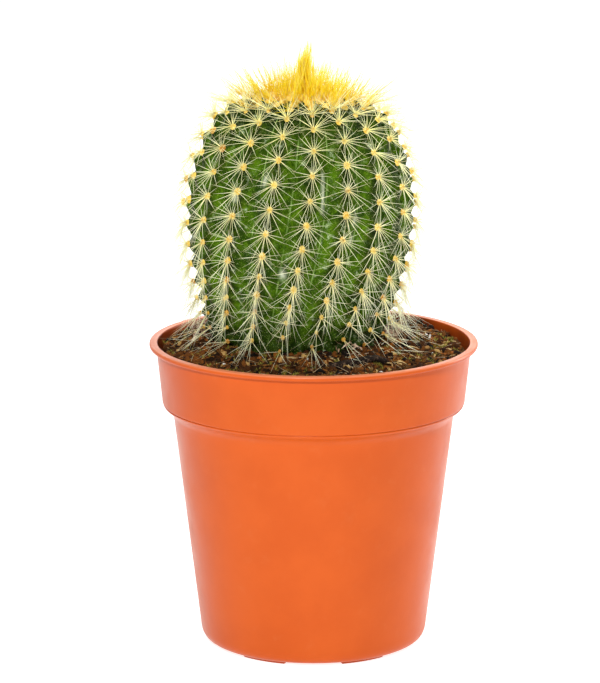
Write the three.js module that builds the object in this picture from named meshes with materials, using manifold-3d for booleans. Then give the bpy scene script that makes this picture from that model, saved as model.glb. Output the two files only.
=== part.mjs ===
// A ribbed globe cactus with needle stars and a golden crown, in a round orange nursery pot of soil.
// Millimetres, +Z up. The origin is the middle of the circle that the pot's feet stand on.
import * as THREE from "three";
import { mergeVertices } from "three/addons/utils/BufferGeometryUtils.js";
import { ImprovedNoise } from "three/addons/math/ImprovedNoise.js";
import Module from "manifold-3d";

// Pot: a moulded tapering body, a wider collar and a rolled rim
const RIM_RADIUS = 60;
const POT_HEIGHT = 112.4;
const WALL = 1.4;
const FLOOR = 1.5;
const BASE_RADIUS = 37.4;
const BODY_FOOT_RADIUS = 41.6;
const BODY_TOP_RADIUS = 51.3;
const BODY_TOP = 85.2;
const COLLAR_RADIUS = 55.5;
const COLLAR_BOTTOM = 91.5;
const RIM_OVERHANG = 2.4;
const BEAD_HEIGHT = 1.9;
const BASE_CORNER = 5;
const POT_SIDES = 36;
const FOOT_HEIGHT = 1;
const FOOT_WIDTH = 3.4;
const FOOT_ARC = THREE.MathUtils.degToRad(29);
const FEET = 6;
const DRAIN_RADIUS = 3.5;
const DRAIN_CIRCLE = 24;

// Soil: it fills the pot to just under the rim and mounds up to the plant
const SOIL_BELOW_RIM = 3.4;
const SOIL_MOUND = 4.8;
const MOUND_START = 30;
const MOUND_END = 54;
const SOIL_GRAIN = 0.9;
const SOIL_RINGS = 6;
const SOIL_SIDES = 32;

// Cactus: the plant leans a little to +X and stands off the pot's middle
const LEAN = THREE.MathUtils.degToRad(2);
const PLANT_X = -6.6;
const RIBS = 19;
const RIB_DEPTH = 4.8;
const AREOLE_BUMP = 2.2;
const TWIST_AT_RIM = THREE.MathUtils.degToRad(-10.9);
const TWIST_AT_CROWN = THREE.MathUtils.degToRad(6.8);
// Each next rib to the right carries its areoles 8/19 of a row higher, so they wind up in spirals
const SPIRAL_SHIFT = 8 / 19;
const WIDEST_PITCH = 8.9;
const CROWN_PITCH = 2.6;
const SOIL_PITCH = 5.4;
const FIRST_RIB_AREOLE = 58.9;
const TOP_ROW = -4;
const BOTTOM_ROW = 7;
// The outline through the areoles, from the apex down to the root: radius and height over the rim
const PLANT_OUTLINE = [
  [0, 90.9], [12, 90.2], [23, 88.1], [29, 85.1], [34.1, 78.9], [39.6, 66.1], [42.1, 50.5],
  [40.3, 32.2], [35.8, 13.2], [31.2, -1], [24, -12], [12, -22], [6, -30],
];

// Needles: eight rise from each felt pad of an areole
const NEEDLES = 8;
const PAD_SHARE = 0.3;
const PAD_RISE = 0.7;
const NEEDLE_LENGTH = 7.8;
const NEEDLE_HALF_WIDTH = 0.4;

// Crown: a low woolly cap, set with tufts of golden needles that rise to a peak
const CAP_ARC = 21.5;
const CAP_THICKNESS = 1.9;
const TUFTS_AROUND = 15;
const TUFT_ROWS = [
  { arc: 3, length: 18.2, shortest: 0.55, tilt: -5, spread: 4 },
  { arc: 7.8, length: 10.5, shortest: 0.65, tilt: 9, spread: 12 },
  { arc: 13, length: 10.5, shortest: 0.75, tilt: 27, spread: 16 },
  { arc: 18.6, length: 10.5, shortest: 0.8, tilt: 41, spread: 18 },
];
const PEAK_LENGTH = 19.2;
const CROWN_CONE = THREE.MathUtils.degToRad(52);

// Twig: a crooked dark scrap lying on the soil in front, to the right, with one bend off the soil.
// Each point of its line is a place on the soil and the height of its middle over it.
const TWIG_LINE = [[5, -41.5, 0.6], [11, -38.5, 0.9], [17, -35, 0.9], [22, -31.5, 1.8], [26.5, -33, 1.6]];
const TWIG_HALF_WIDTH = 1.7;
const TWIG_HALF_THICKNESS = 1.2;

// Clearance between neighbouring pieces
const GAP = 0.4;

const UP = new THREE.Vector3(0, 0, 1);
const wasm = await Module();
wasm.setup();
const noise = new ImprovedNoise();
const { clamp, degToRad, euclideanModulo, lerp, smoothstep } = THREE.MathUtils;

// A seeded stream of random numbers from 0 to 1
function randomStream(seed) {
  let state = seed;
  return () => {
    state = (state * 1664525 + 1013904223) % 4294967296;
    return state / 4294967296;
  };
}

// A closed geometry as a solid: its seams are merged and its collapsed triangles are dropped
function solidOf(geometry) {
  const bare = geometry.clone();
  bare.deleteAttribute("normal");
  bare.deleteAttribute("uv");
  const merged = mergeVertices(bare, 1e-4);
  const corners = merged.index.array;
  const kept = [];
  for (let i = 0; i < corners.length; i += 3) {
    const [a, b, c] = corners.slice(i, i + 3);
    if (a !== b && b !== c && c !== a) kept.push(a, b, c);
  }
  return new wasm.Manifold(
    new wasm.Mesh({
      numProp: 3,
      vertProperties: merged.attributes.position.array,
      triVerts: new Uint32Array(kept),
    }),
  );
}

// A solid as a named mesh with its own material
function meshOf(name, solid, finish) {
  const { vertProperties, triVerts } = solid.getMesh();
  const geometry = new THREE.BufferGeometry();
  geometry.setAttribute("position", new THREE.BufferAttribute(vertProperties, 3));
  geometry.setIndex(new THREE.BufferAttribute(triVerts, 1));
  geometry.computeVertexNormals();
  const mesh = new THREE.Mesh(geometry, new THREE.MeshStandardMaterial(finish));
  mesh.name = name;
  return mesh;
}

// A profile of radius and height turned about Z
function turned(points, sides) {
  return new THREE.LatheGeometry(points, sides).rotateX(Math.PI / 2);
}

// The pot's inner face from the floor's middle up to the rim, drawn in by an inset
function innerFace(inset) {
  const path = new THREE.Path();
  const floor = FOOT_HEIGHT + FLOOR + inset;
  const across = WALL + inset;
  path.moveTo(0, floor);
  path.lineTo(BASE_RADIUS + 0.5 - inset, floor);
  path.quadraticCurveTo(
    BODY_FOOT_RADIUS - across - 0.5, floor + 0.2,
    BODY_FOOT_RADIUS - across, FOOT_HEIGHT + BASE_CORNER + 1,
  );
  path.lineTo(BODY_TOP_RADIUS - across, BODY_TOP + 1);
  path.lineTo(COLLAR_RADIUS - across - 0.4, BODY_TOP + 5);
  path.lineTo(RIM_RADIUS - RIM_OVERHANG - across + 0.4, POT_HEIGHT - BEAD_HEIGHT);
  return path.getPoints(2);
}

// The pot's section: up the outside, out along the collar's sloped underside, over the bead and
// down the inside
function potProfile() {
  const path = new THREE.Path();
  path.moveTo(0, FOOT_HEIGHT);
  path.lineTo(BASE_RADIUS, FOOT_HEIGHT);
  path.quadraticCurveTo(
    BODY_FOOT_RADIUS - 0.4, FOOT_HEIGHT + 0.3,
    BODY_FOOT_RADIUS, FOOT_HEIGHT + BASE_CORNER,
  );
  path.lineTo(BODY_TOP_RADIUS, BODY_TOP);
  path.quadraticCurveTo(COLLAR_RADIUS - 0.6, COLLAR_BOTTOM - 2.9, COLLAR_RADIUS, COLLAR_BOTTOM);
  const beadRoot = RIM_RADIUS - RIM_OVERHANG;
  const beadBottom = POT_HEIGHT - BEAD_HEIGHT;
  path.lineTo(beadRoot, beadBottom);
  path.quadraticCurveTo(RIM_RADIUS, beadBottom, RIM_RADIUS, POT_HEIGHT - BEAD_HEIGHT / 2);
  path.quadraticCurveTo(RIM_RADIUS, POT_HEIGHT, RIM_RADIUS - 1, POT_HEIGHT);
  path.lineTo(beadRoot, POT_HEIGHT);
  const inside = innerFace(0).reverse();
  return [...path.getPoints(3), ...inside];
}

// A foot: a short arc-shaped block under the edge of the base
function footSolid(angle) {
  const outer = BASE_RADIUS - 0.5;
  const shape = new THREE.Shape();
  shape.absarc(0, 0, outer, angle - FOOT_ARC / 2, angle + FOOT_ARC / 2, false);
  shape.absarc(0, 0, outer - FOOT_WIDTH, angle + FOOT_ARC / 2, angle - FOOT_ARC / 2, true);
  const height = FOOT_HEIGHT + FLOOR / 2;
  return solidOf(
    new THREE.ExtrudeGeometry(shape, { depth: height, bevelEnabled: false, curveSegments: 4 }),
  );
}

// A drain hole's cutter, through the floor
function drainCutter(x, y) {
  const cutter = new THREE.CylinderGeometry(DRAIN_RADIUS, DRAIN_RADIUS, 8, 8);
  return solidOf(cutter.rotateX(Math.PI / 2).translate(x, y, FOOT_HEIGHT + FLOOR / 2));
}

function potSolid() {
  let pot = solidOf(turned(potProfile(), POT_SIDES));
  for (let i = 0; i < FEET; i++) {
    pot = pot.add(footSolid(((i + 0.5) * Math.PI) / 3 + Math.PI / 2));
  }
  pot = pot.subtract(drainCutter(0, 0));
  for (let i = 0; i < FEET; i++) {
    const angle = (i * Math.PI) / 3 + Math.PI / 2;
    pot = pot.subtract(drainCutter(DRAIN_CIRCLE * Math.cos(angle), DRAIN_CIRCLE * Math.sin(angle)));
  }
  return pot;
}

// The soil's surface: level at the wall, mounded round the plant, with low lumps
function soilHeight(x, y) {
  const fromPlant = Math.hypot(x - PLANT_X, y);
  const mound = SOIL_MOUND * (1 - smoothstep(fromPlant, MOUND_START, MOUND_END));
  const lumps = noise.noise(x / 9, y / 9, 3.3) + 0.5 * noise.noise(x / 4, y / 4, 7.7);
  return POT_HEIGHT - SOIL_BELOW_RIM + mound + SOIL_GRAIN * lumps;
}

// The soil as poured: its side follows the pot's inner face, and its top is moved to the lumpy surface
function soilBlock() {
  const side = innerFace(GAP);
  const [collar, lip] = side.slice(-2);
  const level = (POT_HEIGHT - SOIL_BELOW_RIM - collar.y) / (lip.y - collar.y);
  const edge = lerp(collar.x, lip.x, level);
  const top = Array.from({ length: SOIL_RINGS }, (_, i) => {
    const share = 1 - i / SOIL_RINGS;
    return new THREE.Vector2(edge * share, POT_HEIGHT);
  });
  side.pop();
  const geometry = turned([...side, ...top, new THREE.Vector2(0, POT_HEIGHT)], SOIL_SIDES);
  const place = geometry.attributes.position;
  for (let i = 0; i < place.count; i++) {
    if (place.getZ(i) < POT_HEIGHT - 1) continue;
    place.setZ(i, soilHeight(place.getX(i), place.getY(i)));
  }
  return solidOf(geometry);
}

// The plant's outline as a smooth curve in the plane of radius and height, measured from the apex
const outline = new THREE.CatmullRomCurve3(
  PLANT_OUTLINE.map(([radius, height]) => new THREE.Vector3(radius, 0, height)),
  false,
  "centripetal",
);
outline.arcLengthDivisions = 600;
const OUTLINE_LENGTH = outline.getLength();

// The point of the outline at an arc length from the apex, and its outward direction there
function outlineAt(arc) {
  const share = clamp(arc / OUTLINE_LENGTH, 0, 1);
  const point = outline.getPointAt(share);
  const along = outline.getTangentAt(share);
  return { radius: point.x, height: point.z, outR: -along.z, outZ: along.x };
}

// The distance between an areole and the next one down its rib: close on the crown and at the soil
function rowPitch(arc) {
  const young = (WIDEST_PITCH - CROWN_PITCH) * (1 - smoothstep(arc, 0, 45));
  const old = (WIDEST_PITCH - SOIL_PITCH) * smoothstep(arc, 58, 125);
  return WIDEST_PITCH - young - old;
}

// Row numbers along the outline, summed up from the pitch, and the arc length of any row number
const ROW_STEP = 0.5;
const rowAt = [0];
while (rowAt.length * ROW_STEP < OUTLINE_LENGTH) {
  rowAt.push(rowAt[rowAt.length - 1] + ROW_STEP / rowPitch(rowAt.length * ROW_STEP));
}
const firstRow = rowAt[Math.round(FIRST_RIB_AREOLE / ROW_STEP)];
function rowArc(row) {
  const wanted = row + firstRow;
  const after = rowAt.findIndex((value) => value > wanted);
  const before = after - 1;
  return ROW_STEP * (before + (wanted - rowAt[before]) / (rowAt[after] - rowAt[before]));
}

// The way the ribs wind: their turn about the axis at a height over the rim
function twist(height) {
  const share = height / PLANT_OUTLINE[0][1];
  const bend = degToRad(4.2) * share * (1 - share) * 4;
  return lerp(TWIST_AT_RIM, TWIST_AT_CROWN, share) + bend;
}

// A point of the skin: side counts ribs round the plant, and a whole number is a crest. The rib's
// section is a rounded crest between sharp valleys. The crest dips between one areole and the next.
function skinPoint(side, arc, dip) {
  const { radius, height, outR, outZ } = outlineAt(arc);
  const wave = 1 - Math.abs(Math.cos(Math.PI * side));
  const grown = smoothstep(arc, 4, 50) * (1 - 0.65 * smoothstep(arc, 104, 122));
  const inward = RIB_DEPTH * grown * wave + AREOLE_BUMP * dip;
  const r = Math.max(radius - outR * inward, 0.5);
  const angle = (side / RIBS) * 2 * Math.PI + twist(height);
  return new THREE.Vector3(r * Math.sin(angle), -r * Math.cos(angle), height - outZ * inward);
}

// The outward direction at a crest
function crestNormal(side, arc) {
  const { height, outR, outZ } = outlineAt(arc);
  const angle = (side / RIBS) * 2 * Math.PI + twist(height);
  return new THREE.Vector3(outR * Math.sin(angle), -outR * Math.cos(angle), outZ).normalize();
}

// A skin of triangles under construction: corners and the faces between them
function newSkin() {
  return { points: [], faces: [] };
}
function addPoint(skin, point) {
  return skin.points.push(point) - 1;
}
// A four-sided face, its corners given anticlockwise from outside
function addQuad(skin, a, b, c, d) {
  skin.faces.push(a, b, c, a, c, d);
}
function skinGeometry(skin) {
  return new THREE.BufferGeometry().setFromPoints(skin.points).setIndex(skin.faces);
}

// A felt pad inside a ring of eight corners, each of its facets drawn out into a three-sided needle
function addNeedlePad(skin, centre, around, out, tips, rise, share) {
  const middle = skin.points[centre];
  const pad = around.map((corner) =>
    addPoint(skin, middle.clone().lerp(skin.points[corner], share).addScaledVector(out, rise)),
  );
  middle.addScaledVector(out, rise * 1.7);
  tips.forEach((point, i) => {
    const next = (i + 1) % tips.length;
    const tip = addPoint(skin, point);
    addQuad(skin, around[i], around[next], pad[next], pad[i]);
    skin.faces.push(pad[i], pad[next], tip, pad[next], centre, tip, centre, pad[i], tip);
  });
}

// Whether a needle keeps clear of every other pad's needles that stand near it
function clearOfOthers(needle, pad, placed) {
  const here = new THREE.Vector3();
  const there = new THREE.Vector3();
  return placed.every((other) => {
    if (other.pad === pad) return true;
    if (other.line.start.distanceToSquared(needle.start) > 900) return true;
    const apart = Math.sqrt(needle.distanceSqToLine3(other.line, here, there));
    const thin = 1 - needle.closestPointToPointParameter(here, true);
    const thinOther = 1 - other.line.closestPointToPointParameter(there, true);
    return apart > NEEDLE_HALF_WIDTH * (thin + thinOther) + 0.12;
  });
}

// The plant's own frame set in the pot's, to see how low a needle comes
const plantTurn = new THREE.Matrix4().makeRotationY(LEAN).setPosition(PLANT_X, 0, POT_HEIGHT);
function clearOfSoil(needle) {
  const tip = needle.end.clone().applyMatrix4(plantTurn);
  return tip.z > Math.max(soilHeight(tip.x, tip.y), POT_HEIGHT - SOIL_BELOW_RIM) + 0.8;
}
// The cone over the cap belongs to the crown's needles
function clearOfCrown(needle) {
  const edge = outlineAt(CAP_ARC);
  return [0.3, 0.65, 1].every((share) => {
    const at = needle.at(share, new THREE.Vector3());
    const reach = edge.radius + 1.6 + (at.z - edge.height - 1) * Math.tan(CROWN_CONE);
    return Math.hypot(at.x, at.y) > reach;
  });
}

// The tips of one areole's needles: spread like a star, longest downwards, and each bent up or
// aside until it is clear of its neighbours, the soil and the crown
function areoleTips(middle, out, arc, pad, placed, random) {
  const upRib = UP.clone().addScaledVector(out, -out.dot(UP)).normalize();
  const aside = new THREE.Vector3().crossVectors(upRib, out).normalize();
  const start = middle.clone().addScaledVector(out, PAD_RISE);
  const shoulder = 1 - smoothstep(arc, 26, 52);
  const tips = [];
  for (let i = 0; i < NEEDLES; i++) {
    const wedge = ((i + 0.5) / NEEDLES) * 2 * Math.PI;
    const length = NEEDLE_LENGTH * (1 - 0.2 * Math.sin(wedge)) * lerp(0.92, 1.1, random());
    let needle;
    for (let turn = 0; turn < 16; turn++) {
      const around = wedge + degToRad(lerp(-14, 14, random()));
      const lift = degToRad(20 + 20 * shoulder + 8 * random() + 2.4 * turn);
      const reach = length * (turn < 10 ? 1 : 0.7);
      const aim = aside.clone().multiplyScalar(Math.cos(around) * Math.cos(lift));
      aim.addScaledVector(upRib, Math.sin(around) * Math.cos(lift));
      aim.addScaledVector(out, Math.sin(lift));
      needle = new THREE.Line3(start, start.clone().addScaledVector(aim, reach));
      if (clearOfOthers(needle, pad, placed) && clearOfSoil(needle) && clearOfCrown(needle)) break;
    }
    placed.push({ pad, line: needle });
    tips.push(needle.end);
  }
  return tips;
}

// The plant: rings of skin from the apex to the root, with an areole on every other ring of a crest.
// Four columns make a rib: the crest, a flank, the valley and the next flank.
function cactusSolid() {
  const skin = newSkin();
  const columns = RIBS * 4;
  const steps = 2 * (BOTTOM_ROW - TOP_ROW + 1);
  const bareTop = [12];
  const bareRoot = [128];
  const rings = bareTop.length + steps + 1 + bareRoot.length;
  // The share of a row by which a column's areoles stand off rib 0's, blended between two crests
  const ribShift = (rib) => euclideanModulo(-SPIRAL_SHIFT * rib + 0.5, 1) - 0.5;
  const columnShift = (column) => {
    const rib = Math.floor(column / 4);
    return lerp(ribShift(rib), ribShift((rib + 1) % RIBS), (column % 4) / 4);
  };
  const arcAt = (column, ring) => {
    const step = ring - bareTop.length;
    if (step < 0) return bareTop[ring];
    if (step > steps) return bareRoot[step - steps - 1];
    return rowArc(TOP_ROW - 0.5 + step / 2 + columnShift(column));
  };
  const grid = [];
  for (let ring = 0; ring < rings; ring++) {
    const areoleRing = (ring - bareTop.length) % 2 === 1;
    for (let column = 0; column < columns; column++) {
      const onRib = Math.abs(Math.cos((Math.PI * column) / 4));
      const dip = areoleRing ? 0 : onRib;
      grid.push(addPoint(skin, skinPoint(column / 4, arcAt(column, ring), dip)));
    }
  }
  const at = (column, ring) => grid[ring * columns + euclideanModulo(column, columns)];
  const random = randomStream(19);
  const placed = [];
  for (let ring = 0; ring + 1 < rings; ring++) {
    const step = ring - bareTop.length;
    const inAreoles = step >= 0 && step < steps;
    for (let column = 0; column < columns; column++) {
      const place = column % 4;
      const byCrest = place === 0 || place === 3;
      if (inAreoles && byCrest) continue;
      addQuad(
        skin,
        at(column, ring), at(column, ring + 1),
        at(column + 1, ring + 1), at(column + 1, ring),
      );
    }
  }
  for (let ring = bareTop.length + 1; ring < bareTop.length + steps; ring += 2) {
    for (let rib = 0; rib < RIBS; rib++) {
      const column = rib * 4;
      const arc = arcAt(column, ring);
      const out = crestNormal(rib, arc);
      const centre = at(column, ring);
      const around = [
        at(column + 1, ring), at(column + 1, ring - 1), at(column, ring - 1),
        at(column - 1, ring - 1), at(column - 1, ring), at(column - 1, ring + 1),
        at(column, ring + 1), at(column + 1, ring + 1),
      ];
      const tips = areoleTips(skin.points[centre], out, arc, centre, placed, random);
      addNeedlePad(skin, centre, around, out, tips, PAD_RISE, PAD_SHARE);
    }
  }
  const apex = addPoint(skin, new THREE.Vector3(0, 0, outlineAt(0).height));
  const root = addPoint(skin, new THREE.Vector3(0, 0, PLANT_OUTLINE[PLANT_OUTLINE.length - 1][1]));
  for (let column = 0; column < columns; column++) {
    skin.faces.push(apex, at(column, 0), at(column + 1, 0));
    skin.faces.push(root, at(column + 1, rings - 1), at(column, rings - 1));
  }
  return solidOf(skinGeometry(skin));
}

// The crown: a low dome just over the plant's apex, tufted on a polar grid like the skin's
function crownSolid() {
  const skin = newSkin();
  const columns = TUFTS_AROUND * 2;
  const arcs = [TUFT_ROWS[0].arc * 0.4];
  TUFT_ROWS.forEach(({ arc }, i) => {
    const next = i + 1 < TUFT_ROWS.length ? TUFT_ROWS[i + 1].arc : 2 * CAP_ARC - arc;
    arcs.push(arc, (arc + next) / 2);
  });
  const capPoint = (arc, column, proud) => {
    const { radius, height, outR, outZ } = outlineAt(arc);
    const angle = (column / columns) * 2 * Math.PI;
    const r = radius + outR * proud;
    return new THREE.Vector3(r * Math.sin(angle), -r * Math.cos(angle), height + outZ * proud);
  };
  const top = arcs.map((arc) => {
    const proud = GAP + 0.1 + CAP_THICKNESS * Math.cos((arc / CAP_ARC) * 1.2);
    return Array.from({ length: columns }, (_, c) => addPoint(skin, capPoint(arc, c, proud)));
  });
  const under = [CAP_ARC, CAP_ARC * 0.66, CAP_ARC * 0.33].map((arc) =>
    Array.from({ length: columns }, (_, c) => addPoint(skin, capPoint(arc, c, GAP + 0.1))),
  );
  const wrap = (ring, column) => ring[euclideanModulo(column, columns)];
  const random = randomStream(7);
  const placed = [];
  TUFT_ROWS.forEach(({ arc, length, shortest, tilt, spread }, row) => {
    const ring = 1 + 2 * row;
    for (let tuft = 0; tuft < TUFTS_AROUND; tuft++) {
      const column = 2 * tuft + (row % 2);
      const angle = (column / columns) * 2 * Math.PI;
      const outward = new THREE.Vector3(Math.sin(angle), -Math.cos(angle), 0);
      const aside = new THREE.Vector3().crossVectors(UP, outward);
      const field = UP.clone().multiplyScalar(Math.cos(degToRad(tilt)));
      field.addScaledVector(outward, Math.sin(degToRad(tilt)));
      const centre = wrap(top[ring], column);
      const start = skin.points[centre].clone().addScaledVector(field, PAD_RISE);
      const tips = [];
      for (let i = 0; i < NEEDLES; i++) {
        const wedge = ((i + 0.5) / NEEDLES) * 2 * Math.PI;
        let needle;
        for (let turn = 0; turn < 16; turn++) {
          const around = wedge + degToRad(lerp(-14, 14, random()));
          const wide = Math.tan(degToRad(spread * lerp(1.15, 0.45, random()) * (1 - turn / 24)));
          const aim = field.clone().addScaledVector(aside, Math.cos(around) * wide);
          aim.addScaledVector(outward, -Math.sin(around) * wide).normalize();
          const reach = length * lerp(shortest, 1.06, random()) * (turn < 10 ? 1 : 0.8);
          needle = new THREE.Line3(start, start.clone().addScaledVector(aim, reach));
          if (clearOfOthers(needle, centre, placed)) break;
        }
        placed.push({ pad: centre, line: needle });
        tips.push(needle.end);
      }
      const around = [
        wrap(top[ring], column + 1), wrap(top[ring - 1], column + 1), wrap(top[ring - 1], column),
        wrap(top[ring - 1], column - 1), wrap(top[ring], column - 1),
        wrap(top[ring + 1], column - 1), wrap(top[ring + 1], column), wrap(top[ring + 1], column + 1),
      ];
      addNeedlePad(skin, centre, around, field, tips, 0.35, 0.34);
    }
  });
  const peak = addPoint(skin, capPoint(0, 0, CAP_THICKNESS + PEAK_LENGTH));
  const hollow = addPoint(skin, capPoint(0, 0, GAP + 0.1));
  const rings = [top[top.length - 1], ...under];
  for (let column = 0; column < columns; column++) {
    skin.faces.push(peak, wrap(top[0], column), wrap(top[0], column + 1));
    for (let ring = 0; ring + 1 < rings.length; ring++) {
      addQuad(
        skin,
        wrap(rings[ring], column), wrap(rings[ring + 1], column),
        wrap(rings[ring + 1], column + 1), wrap(rings[ring], column + 1),
      );
    }
    const last = rings[rings.length - 1];
    skin.faces.push(hollow, wrap(last, column + 1), wrap(last, column));
  }
  return solidOf(skinGeometry(skin));
}

// The plain hole that the plant's base stands in, a gap wider than the plant all round
function plantHole() {
  const profile = [new THREE.Vector2(0, 12)];
  for (let arc = 106; arc < OUTLINE_LENGTH; arc += 6) {
    const { radius, height, outR, outZ } = outlineAt(arc);
    profile.push(new THREE.Vector2(radius + outR * GAP * 1.2, height + outZ * GAP * 1.2));
  }
  profile.push(new THREE.Vector2(0, PLANT_OUTLINE[PLANT_OUTLINE.length - 1][1] - GAP));
  profile[0].y = profile[1].y;
  return solidOf(turned(profile.reverse(), 40).applyMatrix4(plantTurn));
}

// The twig: a flat six-sided section carried along its line, narrow at both ends, and grown by an
// amount where the same form is cut out of the soil as its bed
function twigSolid(grow) {
  const skin = newSkin();
  const line = new THREE.CatmullRomCurve3(
    TWIG_LINE.map(([x, y, over]) => new THREE.Vector3(x, y, soilHeight(x, y) + over)),
  );
  const rings = 8;
  const sides = 6;
  for (let ring = 0; ring <= rings; ring++) {
    const share = ring / rings;
    const past = (share - 0.5) * 2 * grow;
    const along = line.getTangent(share);
    const across = new THREE.Vector3().crossVectors(along, UP).normalize();
    const middle = line.getPoint(share).addScaledVector(along, past);
    const taper = 0.45 + 0.55 * Math.sin(Math.PI * share);
    for (let side = 0; side < sides; side++) {
      const angle = (side / sides) * 2 * Math.PI;
      const wide = (TWIG_HALF_WIDTH * taper + grow) * Math.cos(angle);
      const thick = (TWIG_HALF_THICKNESS * taper + grow) * Math.sin(angle);
      addPoint(skin, middle.clone().addScaledVector(across, wide).addScaledVector(UP, thick));
    }
  }
  for (let ring = 0; ring < rings; ring++) {
    for (let side = 0; side < sides; side++) {
      const next = (side + 1) % sides;
      const low = ring * sides;
      const high = low + sides;
      addQuad(skin, low + side, high + side, high + next, low + next);
    }
  }
  for (let side = 1; side + 1 < sides; side++) {
    const end = rings * sides;
    skin.faces.push(0, side, side + 1, end, end + side + 1, end + side);
  }
  return solidOf(skinGeometry(skin));
}

const pot = meshOf("pot", potSolid(), { color: 0xee6c32, roughness: 0.38, metalness: 0 });
const soil = meshOf(
  "soil",
  soilBlock().subtract(plantHole()).subtract(twigSolid(GAP)),
  { color: 0x3a2517, roughness: 0.95, metalness: 0 },
);
const twig = meshOf("twig", twigSolid(0), { color: 0x3a2a22, roughness: 0.85, metalness: 0 });
const cactus = meshOf("cactus_body", cactusSolid(), { color: 0x3f7d22, roughness: 0.5, metalness: 0 });
const crown = meshOf("crown_tuft", crownSolid(), { color: 0xf2c43a, roughness: 0.6, metalness: 0 });

// The plant is upright in its own frame, and leans with its crown
const plant = new THREE.Group();
plant.position.set(PLANT_X, 0, POT_HEIGHT);
plant.rotation.y = LEAN;
plant.add(cactus, crown);

const pottedCactus = new THREE.Group();
pottedCactus.add(pot, soil, twig, plant);
export default pottedCactus;
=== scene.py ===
"""A round ribbed cactus with pale needle stars and a golden crown, in an orange nursery pot of soil.

Sizes are in millimetres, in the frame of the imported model, until a mesh or a light takes them over
in metres. Every piece is a surface worked out with numpy from the same few sizes as the model.
"""
import math

import bmesh
import bpy
import numpy as np
from mathutils import Matrix, Vector


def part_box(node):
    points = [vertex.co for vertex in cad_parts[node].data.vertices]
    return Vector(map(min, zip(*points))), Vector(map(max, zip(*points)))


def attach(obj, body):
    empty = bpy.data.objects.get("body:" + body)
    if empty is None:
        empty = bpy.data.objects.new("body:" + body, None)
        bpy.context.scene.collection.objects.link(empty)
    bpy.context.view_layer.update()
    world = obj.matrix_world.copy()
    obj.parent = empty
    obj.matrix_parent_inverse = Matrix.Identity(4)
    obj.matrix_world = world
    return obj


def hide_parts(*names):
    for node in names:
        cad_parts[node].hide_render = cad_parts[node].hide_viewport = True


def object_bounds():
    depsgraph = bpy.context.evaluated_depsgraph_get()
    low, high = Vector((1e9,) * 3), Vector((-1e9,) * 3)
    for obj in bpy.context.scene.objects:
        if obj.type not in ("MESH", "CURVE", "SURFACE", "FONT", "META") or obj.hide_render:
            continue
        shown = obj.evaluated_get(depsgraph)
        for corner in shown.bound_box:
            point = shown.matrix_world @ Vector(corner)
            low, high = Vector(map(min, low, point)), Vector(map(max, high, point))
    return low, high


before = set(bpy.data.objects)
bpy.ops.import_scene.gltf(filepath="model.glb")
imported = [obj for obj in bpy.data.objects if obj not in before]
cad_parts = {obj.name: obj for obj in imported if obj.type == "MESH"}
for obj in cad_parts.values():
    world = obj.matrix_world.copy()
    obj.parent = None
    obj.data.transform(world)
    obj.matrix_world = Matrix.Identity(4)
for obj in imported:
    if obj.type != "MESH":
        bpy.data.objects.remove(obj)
cad_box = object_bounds()
MM = 0.001

# The photograph's view: distance, height, downward pitch and the pot's offset from the middle
VIEW_DISTANCE = 1400
VIEW_HEIGHT = 423.65
VIEW_PITCH = math.radians(12.55)
VIEW_YAW = math.radians(0.2036)
VIEW_LENS = 206.93
SENSOR_WIDTH = 36
VIEW_LIMIT = 20000

# Pot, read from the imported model, and the shape of its wall
POT_HIGH = np.array(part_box("pot")[1]) / MM
RIM_RADIUS = POT_HIGH[0]
POT_HEIGHT = POT_HIGH[2]
WALL = 1.4
FLOOR_TOP = 2.5
BASE_RADIUS = 37.4
BODY_FOOT_RADIUS = 41.6
BODY_TOP_RADIUS = 51.3
BODY_TOP = 85.2
COLLAR_RADIUS = 55.5
COLLAR_BOTTOM = 91.5
COLLAR_EDGE = 89.9
RIM_OVERHANG = 2.4
BEAD_HEIGHT = 1.9
FEET = 6
FOOT_HEIGHT = 1.0
FOOT_WIDTH = 3.4
FOOT_HALF_TURN = 14.5
DRAIN_RADIUS = 3.5
DRAIN_RING = 24.0

# Soil: its level at the wall, the mound round the plant, and how far out it reaches at the top
SOIL_LEVEL = POT_HEIGHT - 3.4
SOIL_MOUND = 4.8
SOIL_LUMPS = 0.8
MOUND_START = 30.0
MOUND_END = 54.0
SOIL_REACH = RIM_RADIUS - RIM_OVERHANG - 2 * WALL

# Twig: places on the soil, and the height of its middle over it
TWIG_LINE = np.array([(5, -41.5, 0.8), (11, -38.5, 1.2), (17, -35, 1.2), (22, -31.5, 2), (26.5, -33, 2.4)])

# Plant: it leans to +X about a point on the rim's level
LEAN = math.radians(2)
PLANT_PLACE = np.array([-6.6, 0.0])
PLANT_TOP = 90.9
PEAK_HEIGHT = 21.7
RIBS = 19
RIB_COLUMNS = 16
RIB_DEPTH = 4.8
AREOLE_BUMP = 2.5
NOTCH_PLACE = 0.6
SPIRAL_SHIFT = 8 / 19
TWIST_AT_RIM = math.radians(-10.9)
TWIST_AT_CROWN = math.radians(6.8)
TWIST_BEND = math.radians(4.2)
WIDEST_PITCH = 8.9
CROWN_PITCH = 2.6
SOIL_PITCH = 5.4
FIRST_RIB_AREOLE = 58.9
PLANT_OUTLINE = np.array([
    (0, 90.9), (12, 90.2), (23, 88.1), (29, 85.1), (34.1, 78.9), (39.6, 66.1), (42.1, 50.5),
    (40.3, 32.2), (35.8, 13.2), (31.2, -1), (24, -12), (12, -22), (6, -30),
])

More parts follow.
